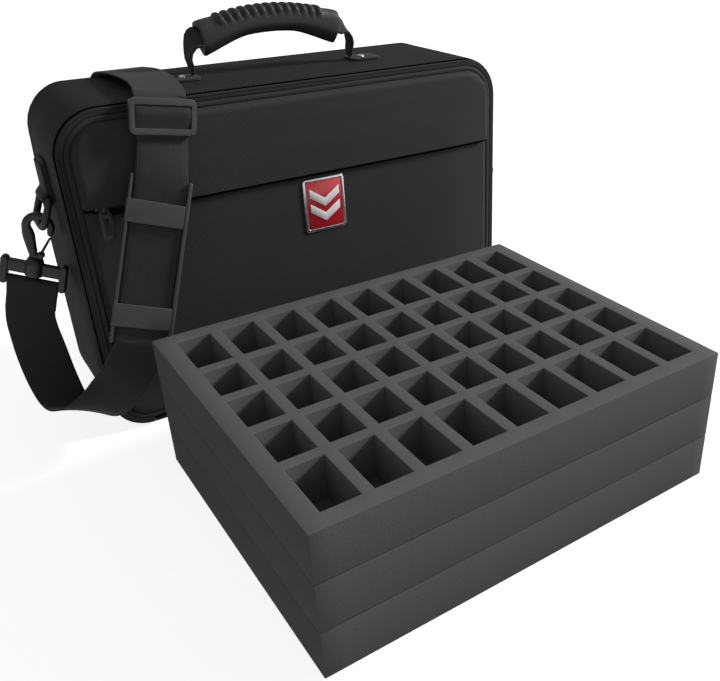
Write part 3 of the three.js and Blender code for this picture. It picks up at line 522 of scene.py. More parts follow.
# Outline of the case
def outline(step=7.0, corner=9, with_base=True):
    """Points round the case and their outward normals, anticlockwise from the base's right end."""
    low, high = BASE_R, CASE_H - TOP_R
    spots = []

    def run(a, b):
        count = max(1, round((Vector(b) - Vector(a)).length / step))
        way = (Vector(b) - Vector(a)).normalized()
        for i in range(count):
            at = Vector(a).lerp(Vector(b), i / count)
            spots.append((at.x, at.y, way.y, -way.x))

    def bend(x, z, radius, start):
        for i in range(corner):
            t = math.radians(start + 90.0 * i / corner)
            spots.append((x + radius * math.cos(t), z + radius * math.sin(t),
                          math.cos(t), math.sin(t)))

    base_x, top_x = HALF_L - BASE_R, HALF_L - TOP_R
    bend(base_x, low, BASE_R, 270)
    run((HALF_L, low), (HALF_L, high))
    bend(top_x, high, TOP_R, 0)
    run((top_x, CASE_H), (-top_x, CASE_H))
    bend(-top_x, high, TOP_R, 90)
    run((-HALF_L, high), (-HALF_L, low))
    bend(-base_x, low, BASE_R, 180)
    if with_base:
        run((-base_x, 0), (base_x, 0))
    spots.append((-base_x, 0.0, 0.0, -1.0) if not with_base else spots[0])
    return spots


def rim(inset, y, with_base):
    return [(x - nx * inset, y, z - nz * inset) for x, z, nx, nz in outline(with_base=with_base)]


def wrapped(name, profile, with_base=True):
    """A band round the case whose section is a closed run of (inset, y) points."""
    profile = [*profile, profile[0]]
    return laid(name, [rim(inset, y, with_base) for inset, y in profile], closed=True,
                capped=not with_base)


def edge_distance(x, z, inset):
    """Distance of a point of the front from the case's outline, drawn in by inset."""
    middle = CASE_H / 2
    radius = (TOP_R if z > middle else BASE_R) - inset
    qx = abs(x) - (HALF_L - inset - radius)
    qz = abs(z - middle) - (middle - inset - radius)
    inner = min(max(qx, qz), 0.0)
    return radius - inner - math.hypot(max(qx, 0.0), max(qz, 0.0))


def half_width(z, inset):
    """Half the outline's width at a height."""
    high = z > CASE_H / 2
    radius = (TOP_R if high else BASE_R) - inset
    depth = CASE_H - inset - z if high else z - inset
    width = HALF_L - inset
    if depth >= radius:
        return width
    return width - radius + math.sqrt(max(radius ** 2 - (radius - depth) ** 2, 0.0))


def spread(length, round_r, step):
    """Distances from an edge, close together where it is rounded."""
    near = [0.0, 0.03, 0.12, 0.3, 0.55, 1.0, 1.6]
    out = [round_r * n for n in near]
    count = max(1, round((length - out[-1]) / step))
    return out + [out[-1] + (length - out[-1]) * (i + 1) / count for i in range(count)]


def smoothstep(low, high, value):
    t = min(max((value - low) / (high - low), 0.0), 1.0)
    return t * t * (3 - 2 * t)


def pillow(name, inset, low, high, base_y, out, height, thickness, round_r=4.0, puff=1.6,
           ripple=0.0, raise_foot=None, raise_top=None):
    """A sewn panel: rounded at the outline, crowned towards its middle, with a turned edge."""
    widest = HALF_L - inset
    side = spread(widest, round_r, 7.0)
    columns = [-(widest - s) / widest for s in side] + [
        (widest - s) / widest for s in reversed(side[:-1])]
    rises = spread((high - low) / 2, round_r, 7.0)
    levels = sorted({*[low + s for s in rises], *[high - s for s in rises]})
    rows = []
    for level in levels:
        row = []
        for u in columns:
            x = u * half_width(level, inset)
            z = level
            if raise_foot:
                z = level + raise_foot(x) * (high - level) / (high - low)
            if raise_top:
                z = level + raise_top(x) * smoothstep(high - 30.0, high, level)
            d = max(edge_distance(x, z, inset), 0.0)
            t = min(d / round_r, 1.0)
            full = height - puff
            lift = full * math.sqrt(max(1 - (1 - t) ** 2, 0.0))
            lift += puff * smoothstep(0.0, 46.0, d)
            wave = math.sin(x * 0.043 + 1.3 * math.sin(z * 0.031)) * math.sin(z * 0.052 + 0.7)
            lift -= ripple * (0.5 + 0.5 * wave) * smoothstep(2.0, 20.0, d)
            row.append((x, base_y + out * lift, z))
        rows.append(row)
    piece = laid(name, rows)
    facing = sum((f.normal.y * f.area for f in piece.data.polygons)) * out
    if facing < 0:
        piece.data.flip_normals()
    apply_modifier(piece, "SOLIDIFY", thickness=thickness * MM, offset=-1.0,
                   use_even_offset=False, use_rim=True)
    return piece


def stitches(name, places, finish, body, length=3.0, width=0.55):
    """A row of sewn stitches, each a short bar of thread copied from one."""
    deselect()
    bpy.ops.mesh.primitive_cube_add(size=1.0)
    one = bpy.context.object
    one.scale = (length * MM, width * MM, 0.42 * MM)
    bpy.ops.object.transform_apply(location=False, rotation=False, scale=True)
    bpy.ops.object.mode_set(mode="EDIT")
    bpy.ops.mesh.bevel(offset=0.16 * MM, segments=1)
    bpy.ops.object.mode_set(mode="OBJECT")
    row = bmesh.new()
    for at, along, normal in places:
        copy = one.data.copy()
        copy.transform(in_metres(frame_at(Vector(at), Vector(along), Vector(normal))))
        row.from_mesh(copy)
        bpy.data.meshes.remove(copy)
    row.to_mesh(one.data)
    row.free()
    one.name = name
    return settle(one, finish, body)


def seam_places(y, pitch=4.2):
    """Where the stitches of a seam round the case go: place, direction and outward normal."""
    spots = outline(with_base=False)
    line = [Vector((x, y, z)) for x, z, _, _ in spots]
    marks = measured(line)
    out, k = [], 0
    for i in range(int(marks[-1] / pitch)):
        want = (i + 0.5) * pitch
        while marks[k + 1] < want:
            k += 1
        share = (want - marks[k]) / max(marks[k + 1] - marks[k], 1e-6)
        out.append((line[k].lerp(line[k + 1], share), line[k + 1] - line[k],
                    (spots[k][2], 0.0, spots[k][3])))
    return out


# Case shell
def drawn_in(piece):
    """Pulls the upper corners in towards the back, where the padding is soft."""
    for vertex in piece.data.vertices:
        x, y, z = vertex.co / MM
        pull = (CORNER_PULL * smoothstep(-25, BACK_SEAM_Y, y) * smoothstep(140, 255, z)
                * smoothstep(150, 205, abs(x)))
        vertex.co.x -= math.copysign(pull, x) * MM
    return piece


def make_shell():
    gusset = wrapped("gusset_cloth", [
        (WALL, FRONT_Y), (1.7, FRONT_Y), (0.7, -60.8), (0.15, -60.3), (0.0, -59.4),
        (0.0, -55.0), (0.0, -40.0), (0.0, -20.0), (0.0, 0.0), (0.0, 20.0), (0.0, 40.0),
        (0.05, 50.0), (0.35, 52.3), (1.0, 53.5), (WALL, 53.7)])
    settle(drawn_in(gusset), shaded_side_cloth, "case", ["gusset"])
    back = pillow("back_cloth", 0.0, 0.0, CASE_H, BACK_SEAM_Y, 1.0, BACK_Y - BACK_SEAM_Y, WALL,
                  round_r=7.0, puff=1.0, ripple=0.2)
    settle(drawn_in(back), shaded_side_cloth, "case", ["back_panel"])
    places = [place for y in SEAMS_Y for place in seam_places(y)]
    drawn_in(stitches("gusset_stitches", places, thread, "case"))


# Main zip, each half a smooth tape turned over its coil
def make_zip():
    shell = wrapped("zip_tape_shell", [
        (1.2, LAYER_Y), (1.2, -63.3), (1.4, -63.9), (1.9, TEETH_Y), (2.9, TEETH_Y),
        (3.2, -64.2), (3.3, -63.9), (3.3, TEETH_BACK_Y), (2.0, TEETH_BACK_Y), (2.0, LAYER_Y)],
        with_base=False)
    settle(shell, zip_tape, "case", ["zip_half_shell"])
    # A near-black strip laid in that groove: painted shade for the seam's shadow line, not a real
    # cord.
    seam = wrapped("zip_seam_shadow_strip", [(0.35, -60.9), (0.35, -62.3), (0.7, -62.7), (1.5, -62.7),
                                     (1.5, -60.9)], with_base=False)
    settle(seam, seam_shade_finish, "case")
    door = wrapped("zip_tape_door", [
        (6.5, LAYER_Y), (6.5, -63.8), (6.2, -64.2), (5.75, TEETH_Y), (3.8, TEETH_Y),
        (3.5, -64.2), (3.42, -63.9), (3.42, TEETH_BACK_Y), (5.9, TEETH_BACK_Y), (5.9, LAYER_Y)],
        with_base=False)
    settle(door, zip_tape, "door", ["zip_half_door"])


def make_door():
    piping = wrapped("door_piping_cord", [
        (6.7, LAYER_Y), (6.7, -63.3), (6.95, -64.0), (7.7, -64.6), (8.9, PIPING_Y),
        (10.2, -64.8), (11.3, -64.5), (12.0, -63.8), (12.0, LAYER_Y)])
    settle(piping, cloth, "door", ["door_piping"])

    def fly_rise(x):
        return FLY_RISE * min(max((FLY_RISE_X + 3 * FLY_RISE - x) / (3 * FLY_RISE), 0.0), 1.0)

    def pocket_rise(x):
        return (FLY_RISE - 0.4) * smoothstep(188.4, 190.4, -x)

    pocket = pillow("pocket_cloth", POCKET_INSET, POCKET_INSET, FLY_EDGE_Z - FLY_GAP, LAYER_Y,
                    -1.0, LAYER_Y - POCKET_Y, 1.6, puff=1.4, raise_top=pocket_rise)
    settle(pocket, cloth, "door", ["pocket_panel"])

    upper = pillow("upper_cloth", POCKET_INSET, FLY_EDGE_Z, CASE_H - POCKET_INSET, LAYER_Y, -1.0,
                   LAYER_Y - FLY_Y, 1.4, puff=1.4, raise_foot=fly_rise)
    settle(upper, cloth, "door", ["upper_panel"])
    lining = pillow("door_lining", LINING_INSET, LINING_INSET, CASE_H - LINING_INSET, FRONT_Y,
                    1.0, 2.4, 1.4, round_r=2.4, puff=0.4)
    settle(lining, shaded_side_cloth, "door", ["door_panel"])
    hem = belt("door_hem", [(Vector((x, -61.9, 1.8)), Vector((0, 0, 1)), 3.2)
                            for x in range(-175, 176, 25)], 1.2)
    settle(hem, shaded_side_cloth, "case", ["door_fold"])
    tape = belt("pocket_zip_tape", [(Vector((x, -61.7, POCKET_ZIP_Z)), Vector((0, 0, 1)), 7.4)
                                    for x in [-192.5 + 385.0 * i / 20 for i in range(21)]], 0.7)
    tooth = round_rect(-192.5, -191.5, POCKET_ZIP_Z - 1.8, POCKET_ZIP_Z + 1.8, 0.4, 2)
    coil = moulding("pocket_zip_coil", tooth, -63.0, -62.1, Matrix.Identity(4), 0.25, 1)
    apply_modifier(coil, "ARRAY", count=240, use_relative_offset=False,
                   use_constant_offset=True, constant_offset_displace=(1.6 * MM, 0, 0))
    settle(united("pocket_zip", tape, coil), cloth, "door", ["pocket_zip_teeth"])


# Handle
GRIP_X = HANDLE_X - 3.5
GRIP_HALF = 64.5
ARCH_HALF, ARCH_RISE, ARCH_TOP = 68.0, 12.0, 45.0
GRIP_R = (ARCH_HALF ** 2 + ARCH_RISE ** 2) / (2 * ARCH_RISE)
GRIP_Z = CASE_H + ARCH_TOP - GRIP_R
FOLD_Z = 292.1


def grip_point(s):
    """A point of the grip's arch, s along it from the middle."""
    return Vector((GRIP_X + GRIP_R * math.sin(s / GRIP_R), HANDLE_Y,
                   GRIP_Z + GRIP_R * math.cos(s / GRIP_R)))


def belt(name, stations, thickness, edge=6):
    """Webbing along stations (middle, across, width), with rounded edges and its own flat map."""
    marks = measured([s[0] for s in stations])
    rows, flat = [], []
    for i, (middle, across, width) in enumerate(stations):
        along = stations[min(i + 1, len(stations) - 1)][0] - stations[max(i - 1, 0)][0]
        along.normalize()
        side = (across - along * across.dot(along)).normalized()
        normal = along.cross(side)
        r = thickness / 2
        w = width / 2 - r
        section = [(-w + 2 * w * k / 8, -r) for k in range(8)]
        section += [(w + r * math.sin(t), -r * math.cos(t))
                    for t in (math.pi * k / edge for k in range(edge))]
        section += [(-a, -b) for a, b in section]
        section.append(section[0])
        rows.append([middle + side * a + normal * b for a, b in section])
        flat.append([(a, marks[i]) for a, _ in section])
    return laid(name, rows, flat, closed=True, capped=True)


def make_handle():
    swing = GRIP_R * math.asin(GRIP_HALF / GRIP_R)

    def turned_by(degrees):
        return Vector((0, math.cos(math.radians(degrees)), math.sin(math.radians(degrees))))

    arc = []
    for i in range(25):
        u = i / 12 - 1
        open_out = smoothstep(0.82, 1.0, abs(u))
        arc.append((grip_point(swing * u), turned_by(40 * open_out), 16.0 + 7.0 * open_out))
    end = grip_point(swing).z - FOLD_Z
    leg = [(70.2, end - 1.6, 24.5, 41), (73.4, end - 3.6, 22.5, 36), (76.4, end - 7.4, 19, 27),
           (78.6, end - 12.6, 16, 15), (79.4, end - 18, 14.5, 6), (78.9, 6, 14, 1),
           (78.3, 3.0, 13.6, 0), (78.1, 1.4, 12.2, 0), (78, 0, 10.8, 0)]
    leg += [(78, -5.3 * math.sin(math.radians(t)), 10.8 * math.cos(math.radians(t)), 0)
            for t in (20, 40, 60, 78)]

    def foot(side, nearer):
        return [(Vector((HANDLE_X + side * (x - nearer), HANDLE_Y, FOLD_Z + z)),
                 turned_by(turn), w) for x, z, w, turn in leg]

    strap = belt("handle_belt", [*reversed(foot(-1, 0)), *arc, *foot(1, 3.2)], 3.0)
    settle(strap, webbing, "handle", ["handle_webbing"])

    across = Vector((0, 1, 0))
    pitch, count, sides = 7.5, 13, 40
    first = -(count - 1) / 2 * pitch
    ends = [(7.0, 0.45), (0.8, 0.6), (0.2, 0.84), (0.0, 0.92), (0.4, 0.98), (1.4, 1.0),
            (5.0, 1.0), (11.0, 1.0)]
    marks = [(s - swing, scale, 0.0) for s, scale in ends]
    for i in range(count):
        s = first + i * pitch
        for d, lift in ((-3.1, 0.0), (-2.5, 0.2), (-1.9, 0.75), (-1.0, 0.97), (0.0, 1.0),
                        (1.0, 0.97), (1.9, 0.75), (2.5, 0.2), (3.1, 0.0)):
            marks.append((s + d, 1.0, lift))
    marks += [(swing - s, scale, 0.0) for s, scale in reversed(ends)]
    rows = []
    for s, scale, rib in marks:
        turn = s / GRIP_R * (1.0 - 0.5 * smoothstep(0.45 * swing, swing, abs(s)))
        up = Vector((math.sin(turn), 0, math.cos(turn)))
        skirt = 12.4 + 5.0 * smoothstep(0.3 * swing, swing, abs(s))
        brow = 9.5 + 2.2 * smoothstep(0.6 * swing, swing, abs(s))
        row = []
        for k in range(sides):
            t = 2 * math.pi * k / sides
            c, n = math.cos(t), math.sin(t)
            lift = rib * smoothstep(0.12, 0.6, n) * 2.4
            depth = brow if n > 0 else skirt
            wide = 10.6 * scale * math.copysign(abs(c) ** 0.7, c) + lift * c
            wide *= 1.0 - 0.35 * smoothstep(0.2, 1.0, -n) * (depth / 17.5)
            tall = depth * scale * math.copysign(abs(n) ** 0.7, n) + lift * n
            row.append(grip_point(s) + across * wide + up * tall)
        rows.append([*row, row[0]])
    grip = laid("handle_grip_rubber", rows, closed=True, capped=True)
    settle(grip, rubber, "handle", ["handle_grip"])
    for side in ("left", "right"):
        softened("handle_patch_" + side, patch_webbing, "case", 0.5)
        softened("handle_rivet_" + side, steel, "case", 0.25, angle=30.0)


# Shoulder strap, laid along the same route as its solid
def catmull(points, t):
    """A point on the smooth curve through points, for t from 0 to 1."""
    last = len(points) - 1
    place = last * t
    k = min(int(place), last - 1)
    w = place - k
    p1, p2 = points[k], points[k + 1]
    p0 = points[k - 1] if k > 0 else p1 * 2 - p2
    p3 = points[k + 2] if k + 2 <= last else p2 * 2 - p1
    m1, m2 = (p2 - p0) * 0.5, (p3 - p1) * 0.5
    return (p1 * (2 * w ** 3 - 3 * w ** 2 + 1) + m1 * (w ** 3 - 2 * w ** 2 + w)
            + p2 * (-2 * w ** 3 + 3 * w ** 2) + m2 * (w ** 3 - w ** 2))


HOOK_Z, HOOK_BAR_Z = 149.5, -17.0
TURN, LEAN = math.radians(26), math.radians(17.5)
HOOK_UP = Vector((math.sin(LEAN) * math.cos(TURN), -math.sin(LEAN) * math.sin(TURN),
                  math.cos(LEAN)))
HOOK_ACROSS = Vector((math.cos(LEAN) * math.cos(TURN), -math.cos(LEAN) * math.sin(TURN),
                      -math.sin(LEAN)))
HOOK = frame_at(Vector((-232.1, -4.65, HOOK_Z)), HOOK_ACROSS, HOOK_UP)
BUCKLE = frame_at(Vector((-126.8, -77.3, 273)), Vector((0.985, 0, -0.17)),
                  Vector((0.17, 0.03, 0.98)))
PAD_TOP = Vector((-144.9, -88.8, 207.6))
PAD_FOOT = Vector((-179.0, -105, 115.2))
PAD = frame_at(PAD_FOOT, Vector((0.908, -0.3, -0.419)), PAD_TOP - PAD_FOOT)
PAD_L = (PAD_TOP - PAD_FOOT).length
PAD_HORN, PAD_TAIL = 20.0, 14.0
STRAP_W = 39.4
STRAP_T = 1.6
STRAP_CLEAR = STRAP_T / 2 + 0.3
STRAP_OUT, STRAP_BEHIND, STRAP_INSIDE, STRAP_AHEAD, STRAP_LIFT = 36, 50, 90, 44, 8.5


def hook_loop():
    """The webbing's end, folded round the left hook's bar."""
    lap, wrap, z = 0.95, 3.6, HOOK_BAR_Z
    route = [(-lap, z - 26), (-lap, z - 19), (-lap, z - 12), (-lap - 1.2, z - 7)]
    for i in range(13):
        t = math.radians(205 - 230 * i / 12)
        route.append((wrap * math.cos(t), z + wrap * math.sin(t)))
    route += [(lap + 1.2, z - 7), (lap, z - 12), (lap, z - 24)]
    return [(HOOK @ Vector((0, y, up)), HOOK_ACROSS.copy()) for y, up in route]


def stations_of(table):
    """Middle and across for each row of six numbers."""
    return [(Vector(row[:3]), Vector(row[3:])) for row in table]


def strap_route():
    """The webbing's stations from the right hook to the left, as (middle, across, width)."""
    pad_side = (PAD.to_3x3() @ Vector((1, 0, 0))).normalized()
    slide_side = (BUCKLE.to_3x3() @ Vector((1, 0, 0))).normalized()

    def on_pad(z):
        return PAD @ Vector((0, 0, z)), pad_side

    def on_slide(share):
        return BUCKLE @ Vector((0, 0, share * 14)), slide_side

    def out(share):
        return HALF_L + share * STRAP_OUT

    def behind(share):
        return BACK_Y + share * STRAP_BEHIND

    def inside(share):
        return -HALF_L + share * STRAP_INSIDE

    def ahead(share):
        return FRONT_Y - share * STRAP_AHEAD

    def mid(share):
        return share * BACK_Y

    def up(share):
        return share * HOOK_Z

    def over(share):
        return CASE_H + share * STRAP_LIFT

    flat = 0.95 * STRAP_T
    table = [
        (out(1), mid(0.13), up(0.6), 0.86, 0.44, 0.2),
        (out(0.89), mid(0.39), up(0.4), 0.84, 0.52, 0.12),
        (out(0.72), mid(0.92), up(0.215), 0.76, 0.64, 0.1),
        (out(0.06), behind(0.58), up(0.08), 0.6, 0.8, 0.02),
        (out(-1.1), behind(0.86), 2 * flat, 0.36, 0.93, 0),
        (out(-2.2), behind(0.98), flat, 0.05, 1, 0),
        (0.3 * HALF_L, behind(1), flat, 0, 1, 0),
        (-0.1 * HALF_L, behind(1), flat, 0, 1, 0),
        (inside(1.65), behind(0.98), 1.15 * flat, 0, 1, 0),
        (inside(1.24), behind(0.9), up(0.06), 0.02, 1, 0),
        (inside(1.03), behind(0.78), up(0.21), 0.1, 0.99, 0),
        (inside(0.92), behind(0.64), up(0.48), 0.3, 0.95, 0),
        (inside(0.89), behind(0.54), up(0.81), 0.6, 0.8, 0),
        (inside(0.89), behind(0.46), up(1.13), 0.86, 0.5, 0),
        (inside(0.9), behind(0.36), over(-6.2), 0.98, 0.2, 0),
        (inside(0.92), behind(0.22), over(-2), 1, 0, 0),
        (inside(0.95), behind(0), over(0.1), 1, 0, 0),
        (inside(0.98), mid(0.52), over(0.75), 1, 0, 0),
        (inside(1), 0, over(1), 1, 0, 0),
        (inside(1), mid(-0.52), over(0.95), 0.995, 0, -0.06),
        (inside(0.97), mid(-0.95), over(0.65), 0.99, 0, -0.12),
        (inside(0.93), ahead(0.2), over(0.42), 0.985, 0, -0.165),
    ]
    placed = stations_of(table)
    placed += [on_slide(share) for share in (0.57, -0.29, -0.95, -1.62)]
    placed += [on_pad(z) for z in (PAD_L + 0.9 * PAD_HORN, PAD_L, PAD_L * 0.6, PAD_L * 0.2,
                                   -0.5 * PAD_TAIL, -1.14 * PAD_TAIL)]
    table = [
        (inside(0.124), ahead(0.934), up(0.52), 0.75, -0.38, -0.55),
        (inside(0.01), ahead(0.69), up(0.4), 0.67, -0.32, -0.67),
        (-out(0.31), ahead(0.38), up(0.28), 0.68, -0.05, -0.73),
        (-out(0.66), mid(-0.98), up(0.22), 0.78, 0.3, -0.54),
        (-out(0.88), mid(-0.68), up(0.23), 0.93, 0.32, -0.2),
        (-out(0.98), mid(-0.38), up(0.325), 0.99, 0.12, -0.06),
        (-out(1.03), mid(-0.07), up(0.5), 0.935, -0.28, -0.19),
        (-out(1.044), 0.6, up(0.645), 0.885, -0.38, -0.26),
    ]
    placed += stations_of(table)
    end = hook_loop()
    begin = [(Vector((-p.x, p.y, p.z)), Vector((a.x, -a.y, -a.z))) for p, a in end]
    chain = [begin[0], *placed, end[0]]
    left = [p - a * (STRAP_W / 2) for p, a in chain]
    right = [p + a * (STRAP_W / 2) for p, a in chain]
    steps = (len(chain) - 1) * 6
    run = []
    for i in range(steps + 1):
        a, b = catmull(left, i / steps), catmull(right, i / steps)
        run.append(((a + b) * 0.5, (b - a).normalized(), STRAP_W))
    head = [(p, a, STRAP_W) for p, a in reversed(begin[1:])]
    tail = [(p, a, STRAP_W) for p, a in end[1:]]
    return [*head, *run, *tail]


def make_strap():
    """The strap as two pieces that meet at the pad's foot."""
    stations = strap_route()
    cut = next(i for i, (p, _, _) in enumerate(stations)
               if p.y < -95 and p.z < PAD_FOOT.z + 20)
    over = strap_piece("strap_over", stations[:cut + 1])
    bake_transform(over)
    loop = strap_piece("strap_loop", stations[cut:])
    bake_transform(loop)
    make_slide()
    make_pad()


def strap_piece(name, stations):
    piece = belt(name, stations, STRAP_T)
    webbing.on(piece)
    smooth(piece)
    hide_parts("strap_webbing")
    return piece


FRAME_HALF, FRAME_RAIL = 25.5, 4.0
SLIDE_H, SLIDE_BAR, SLIDE_T = 28.0, 5.0, 2.5


def make_slide():
    """Three-bar slide, with the strap's inner ply lapped over its middle bar."""
    front, back = -STRAP_CLEAR - SLIDE_T, STRAP_CLEAR + SLIDE_T
    inner_x, inner_z = FRAME_HALF - FRAME_RAIL, SLIDE_H / 2 - SLIDE_BAR
    parts = [moulding("slide_ring", round_rect(-FRAME_HALF, FRAME_HALF, -SLIDE_H / 2,
                                               SLIDE_H / 2, 4.6, 7), front - 0.3, -STRAP_CLEAR,
                      BUCKLE, 1.15, 4,
                      slot=((-inner_x, inner_x), (-9.0, 9.0), (-inner_z, inner_z))),
             moulding("slide_bar", round_rect(-inner_x - 2, inner_x + 2, -SLIDE_BAR / 2,
                                              SLIDE_BAR / 2, 1.0, 2), STRAP_CLEAR, back,
                      BUCKLE, 1.1)]
    for x in (-FRAME_HALF + 0.5, FRAME_HALF - FRAME_RAIL + 0.3):
        parts.append(moulding("slide_rail", round_rect(
            x, x + FRAME_RAIL - 0.8, -SLIDE_H / 2 + 2, SLIDE_H / 2 - 2, 1.4),
            -STRAP_CLEAR - 1.0, back, BUCKLE, 1.0, 3))
    settle(united("slide_frame", *parts), plastic, "strap_slide", ["strap_slide"])
    across = (BUCKLE.to_3x3() @ Vector((1, 0, 0))).normalized()
    lap = belt("slide_lap", [(BUCKLE @ Vector((0, -y, z)), across, 2 * inner_x - 0.8)
                             for y, z in ((1.8, -10.5), (2.0, -9.0), (2.2, -7.0), (2.5, -5.0),
                                          (2.9, -3.0), (3.3, -1.0), (3.6, 1.0), (3.7, 2.6),
                                          (3.5, 4.4), (3.0, 6.2), (2.5, 7.6), (2.1, 9.0),
                                          (1.8, 10.5))], 1.2)
    settle(lap, webbing, "strap_slide")


def make_pad():
    """Shoulder pad: a back sheet, two cross-pieces and two long rails."""
    half, bar = 23.3, 18.6
    left_rail, right_rail = 2.3, 3.2
    front, back = -STRAP_CLEAR - 2.0, STRAP_CLEAR + 1.6
    settle(moulding("pad_back", round_rect(-half + 1, half - 1, 0.5, PAD_L, 3.0),
                    STRAP_CLEAR, back - 0.2, PAD, 0.6), dark_plastic, "shoulder_pad")
    parts = []
    for z in (0.0, PAD_L - bar + 2.5):
        parts.append(moulding("pad_cross", round_rect(-half - 0.6, half - right_rail, z, z + bar,
                                                      1.2), front - 0.5, -STRAP_CLEAR, PAD, 0.8))
    for x, wide in ((-half, left_rail), (half - right_rail, right_rail)):
        parts.append(moulding("pad_rail", round_rect(
            x, x + wide, -PAD_TAIL, PAD_L + PAD_HORN + 1.5, wide / 2 - 0.1), front, back, PAD,
            wide / 2 - 0.3, 4))
    settle(united("pad_frame", *parts), plastic, "shoulder_pad", ["shoulder_pad"])


EYE_R, EYE_Z = 6.4, 34.8
GATE_X, GATE_Z = 3.4, 9.6


def make_hook():
    """The left swivel hook: strap frame and collar, crook on its shank, and sprung gate."""
    end = FRAME_HALF
    parts = [moulding("frame_yoke", round_rect(-end + 3, end - 3, -9.2, 1.8, 1.5), -2.8, 2.8,
                      HOOK, 1.6, 4),
             moulding("frame_bar", round_rect(-end + 2, end - 2, HOOK_BAR_Z - 2.5,
                                              HOOK_BAR_Z + 2.5, 1.0), -2.5, 2.5, HOOK, 1.9, 4),
             turned("collar", [(0.6, -10.0), (6.4, -10.0), (7.2, -9.2), (7.4, -5.0),
                               (7.2, 1.0), (6.6, 4.0), (5.6, 5.6), (4.2, 6.3), (2.6, 6.4),
                               (0.6, 6.4)], HOOK)]
    for x in (-end - 0.4, end - 5.8):
        parts.append(moulding("frame_rail", round_rect(
            x, x + 6.2, HOOK_BAR_Z - 4.2, 4.0, 3.0, 6), -3.8, 3.8, HOOK, 2.4, 4))
    strap_frame = united("hook_yoke_left", *parts)

    foot = moulding("hook_foot", [
        (-5.0, 6.9), (5.6, 6.9), (6.6, 8.0), (6.4, 11.0), (5.2, 11.9), (2.2, 11.9),
        (0.8, 10.2), (-4.0, 10.6)], -3, 3, HOOK, 0.8, 3,
        slot=((GATE_X - 2.6, 12), (-1.8, 1.8), (GATE_Z - 2.4, 16)))
    crook = [(-1.4, 6.9, 3.2), (-1.8, 8.6, 3.4), (-2.6, 12.0, 3.5), (-3.9, 16.0, 3.8),
             (-5.2, 20.5, 4.3), (-6.5, 25.0, 4.7), (-7.8, 29.0, 4.4), (-8.9, 32.2, 3.6)]
    for i in range(13):
        t = math.pi * (1 - i / 12)
        crook.append(((EYE_R + 3.1) * math.cos(t), EYE_Z + (EYE_R + 3.1) * math.sin(t),
                      3.4 - 0.6 * i / 12))
    crook += [(9.3, EYE_Z - 2.4, 2.5), (9.2, EYE_Z - 4.8, 2.3), (9.1, EYE_Z - 6.2, 2.0)]
    shank = turned("shank", [(0.5, -6.2), (3.6, -6.2), (4.2, -5.6), (4.2, -4.4), (2.4, -3.8),
                             (2.4, 8.0), (0.5, 8.0)], HOOK)
    hook = united("hook_crook_left", foot, swept("crook", crook, 3.2, HOOK), shank)

    tip_x, tip = 9.4, EYE_Z - 8.4
    lever = moulding("lever", [(GATE_X - 1.2, GATE_Z), (GATE_X + 1.2, GATE_Z),
                               (tip_x + 0.9, tip), (tip_x - 0.9, tip)], -1.6, 1.6, HOOK, 0.4)
    knuckle = moulding("knuckle", [
        (GATE_X + 2.0 * math.cos(k * math.pi / 8), GATE_Z + 2.0 * math.sin(k * math.pi / 8))
        for k in range(16)], -1.4, 1.4, HOOK, 0.3, 2)
    gate = united("hook_latch_left", lever, knuckle)
    return (("hook_frame_", strap_frame, dark_plastic, "case"),
            ("hook_", hook, dark_plastic, "hook_"),
            ("hook_gate_", gate, spring_steel, "gate_"))


def make_hardware():
    for node, left, finish, body in make_hook():
        right = mirrored(left, left.name.replace("left", "right"))
        for piece, side in ((left, "left"), (right, "right")):
            settle(piece, finish, body if body == "case" else body + side, [node + side])
    for side in ("left", "right"):
        softened("d_ring_" + side, dark_plastic, "d_ring_" + side, 0.2, 1, fatten=0.7)
        softened("d_ring_tab_" + side, cloth, "case", 0.5, fatten=0.9)
    for name in ("main", "pocket"):
        softened("zip_slider_" + name, dark_plastic, "zip_slider_" + name, 0.2)
        softened("zip_pull_" + name, dark_plastic, "zip_pull_" + name, 0.3)
    for name, finish, width in (("rim", steel, 0.3), ("field", red_enamel, 0.2),
                                ("chevron_upper", white_enamel, 0.2),
                                ("chevron_lower", white_enamel, 0.2)):
        softened("badge_" + name, finish, "door", width)


# Foam trays
TRAY_L, TRAY_D, TRAY_H = 345.0, 275.0, 38.4
TRAY_MIDDLE_X, TRAY_GAP = -7.5, 69.5
TRAY_X0 = TRAY_MIDDLE_X - TRAY_L / 2
TRAY_Y0 = FRONT_Y - TRAY_GAP - TRAY_D
CELL_W, CELL_WALL_X, CELL_WALL_Y = 27.0, 9.1, 9.25
ROWS = (48.0, 38.0, 38.0, 38.0, 48.0)
COLUMNS = 9
CELL_DEPTH = 35.0


def tray_lines():
    """Where the cells start and end, along the tray and across it."""
    edge = (TRAY_L - COLUMNS * CELL_W - (COLUMNS - 1) * CELL_WALL_X) / 2
    xs = [(TRAY_X0 + edge + i * (CELL_W + CELL_WALL_X),
           TRAY_X0 + edge + i * (CELL_W + CELL_WALL_X) + CELL_W) for i in range(COLUMNS)]
    y = TRAY_Y0 + (TRAY_D - sum(ROWS) - (len(ROWS) - 1) * CELL_WALL_Y) / 2
    ys = []
    for row in ROWS:
        ys.append((y, y + row))
        y += row + CELL_WALL_Y
    return xs, ys


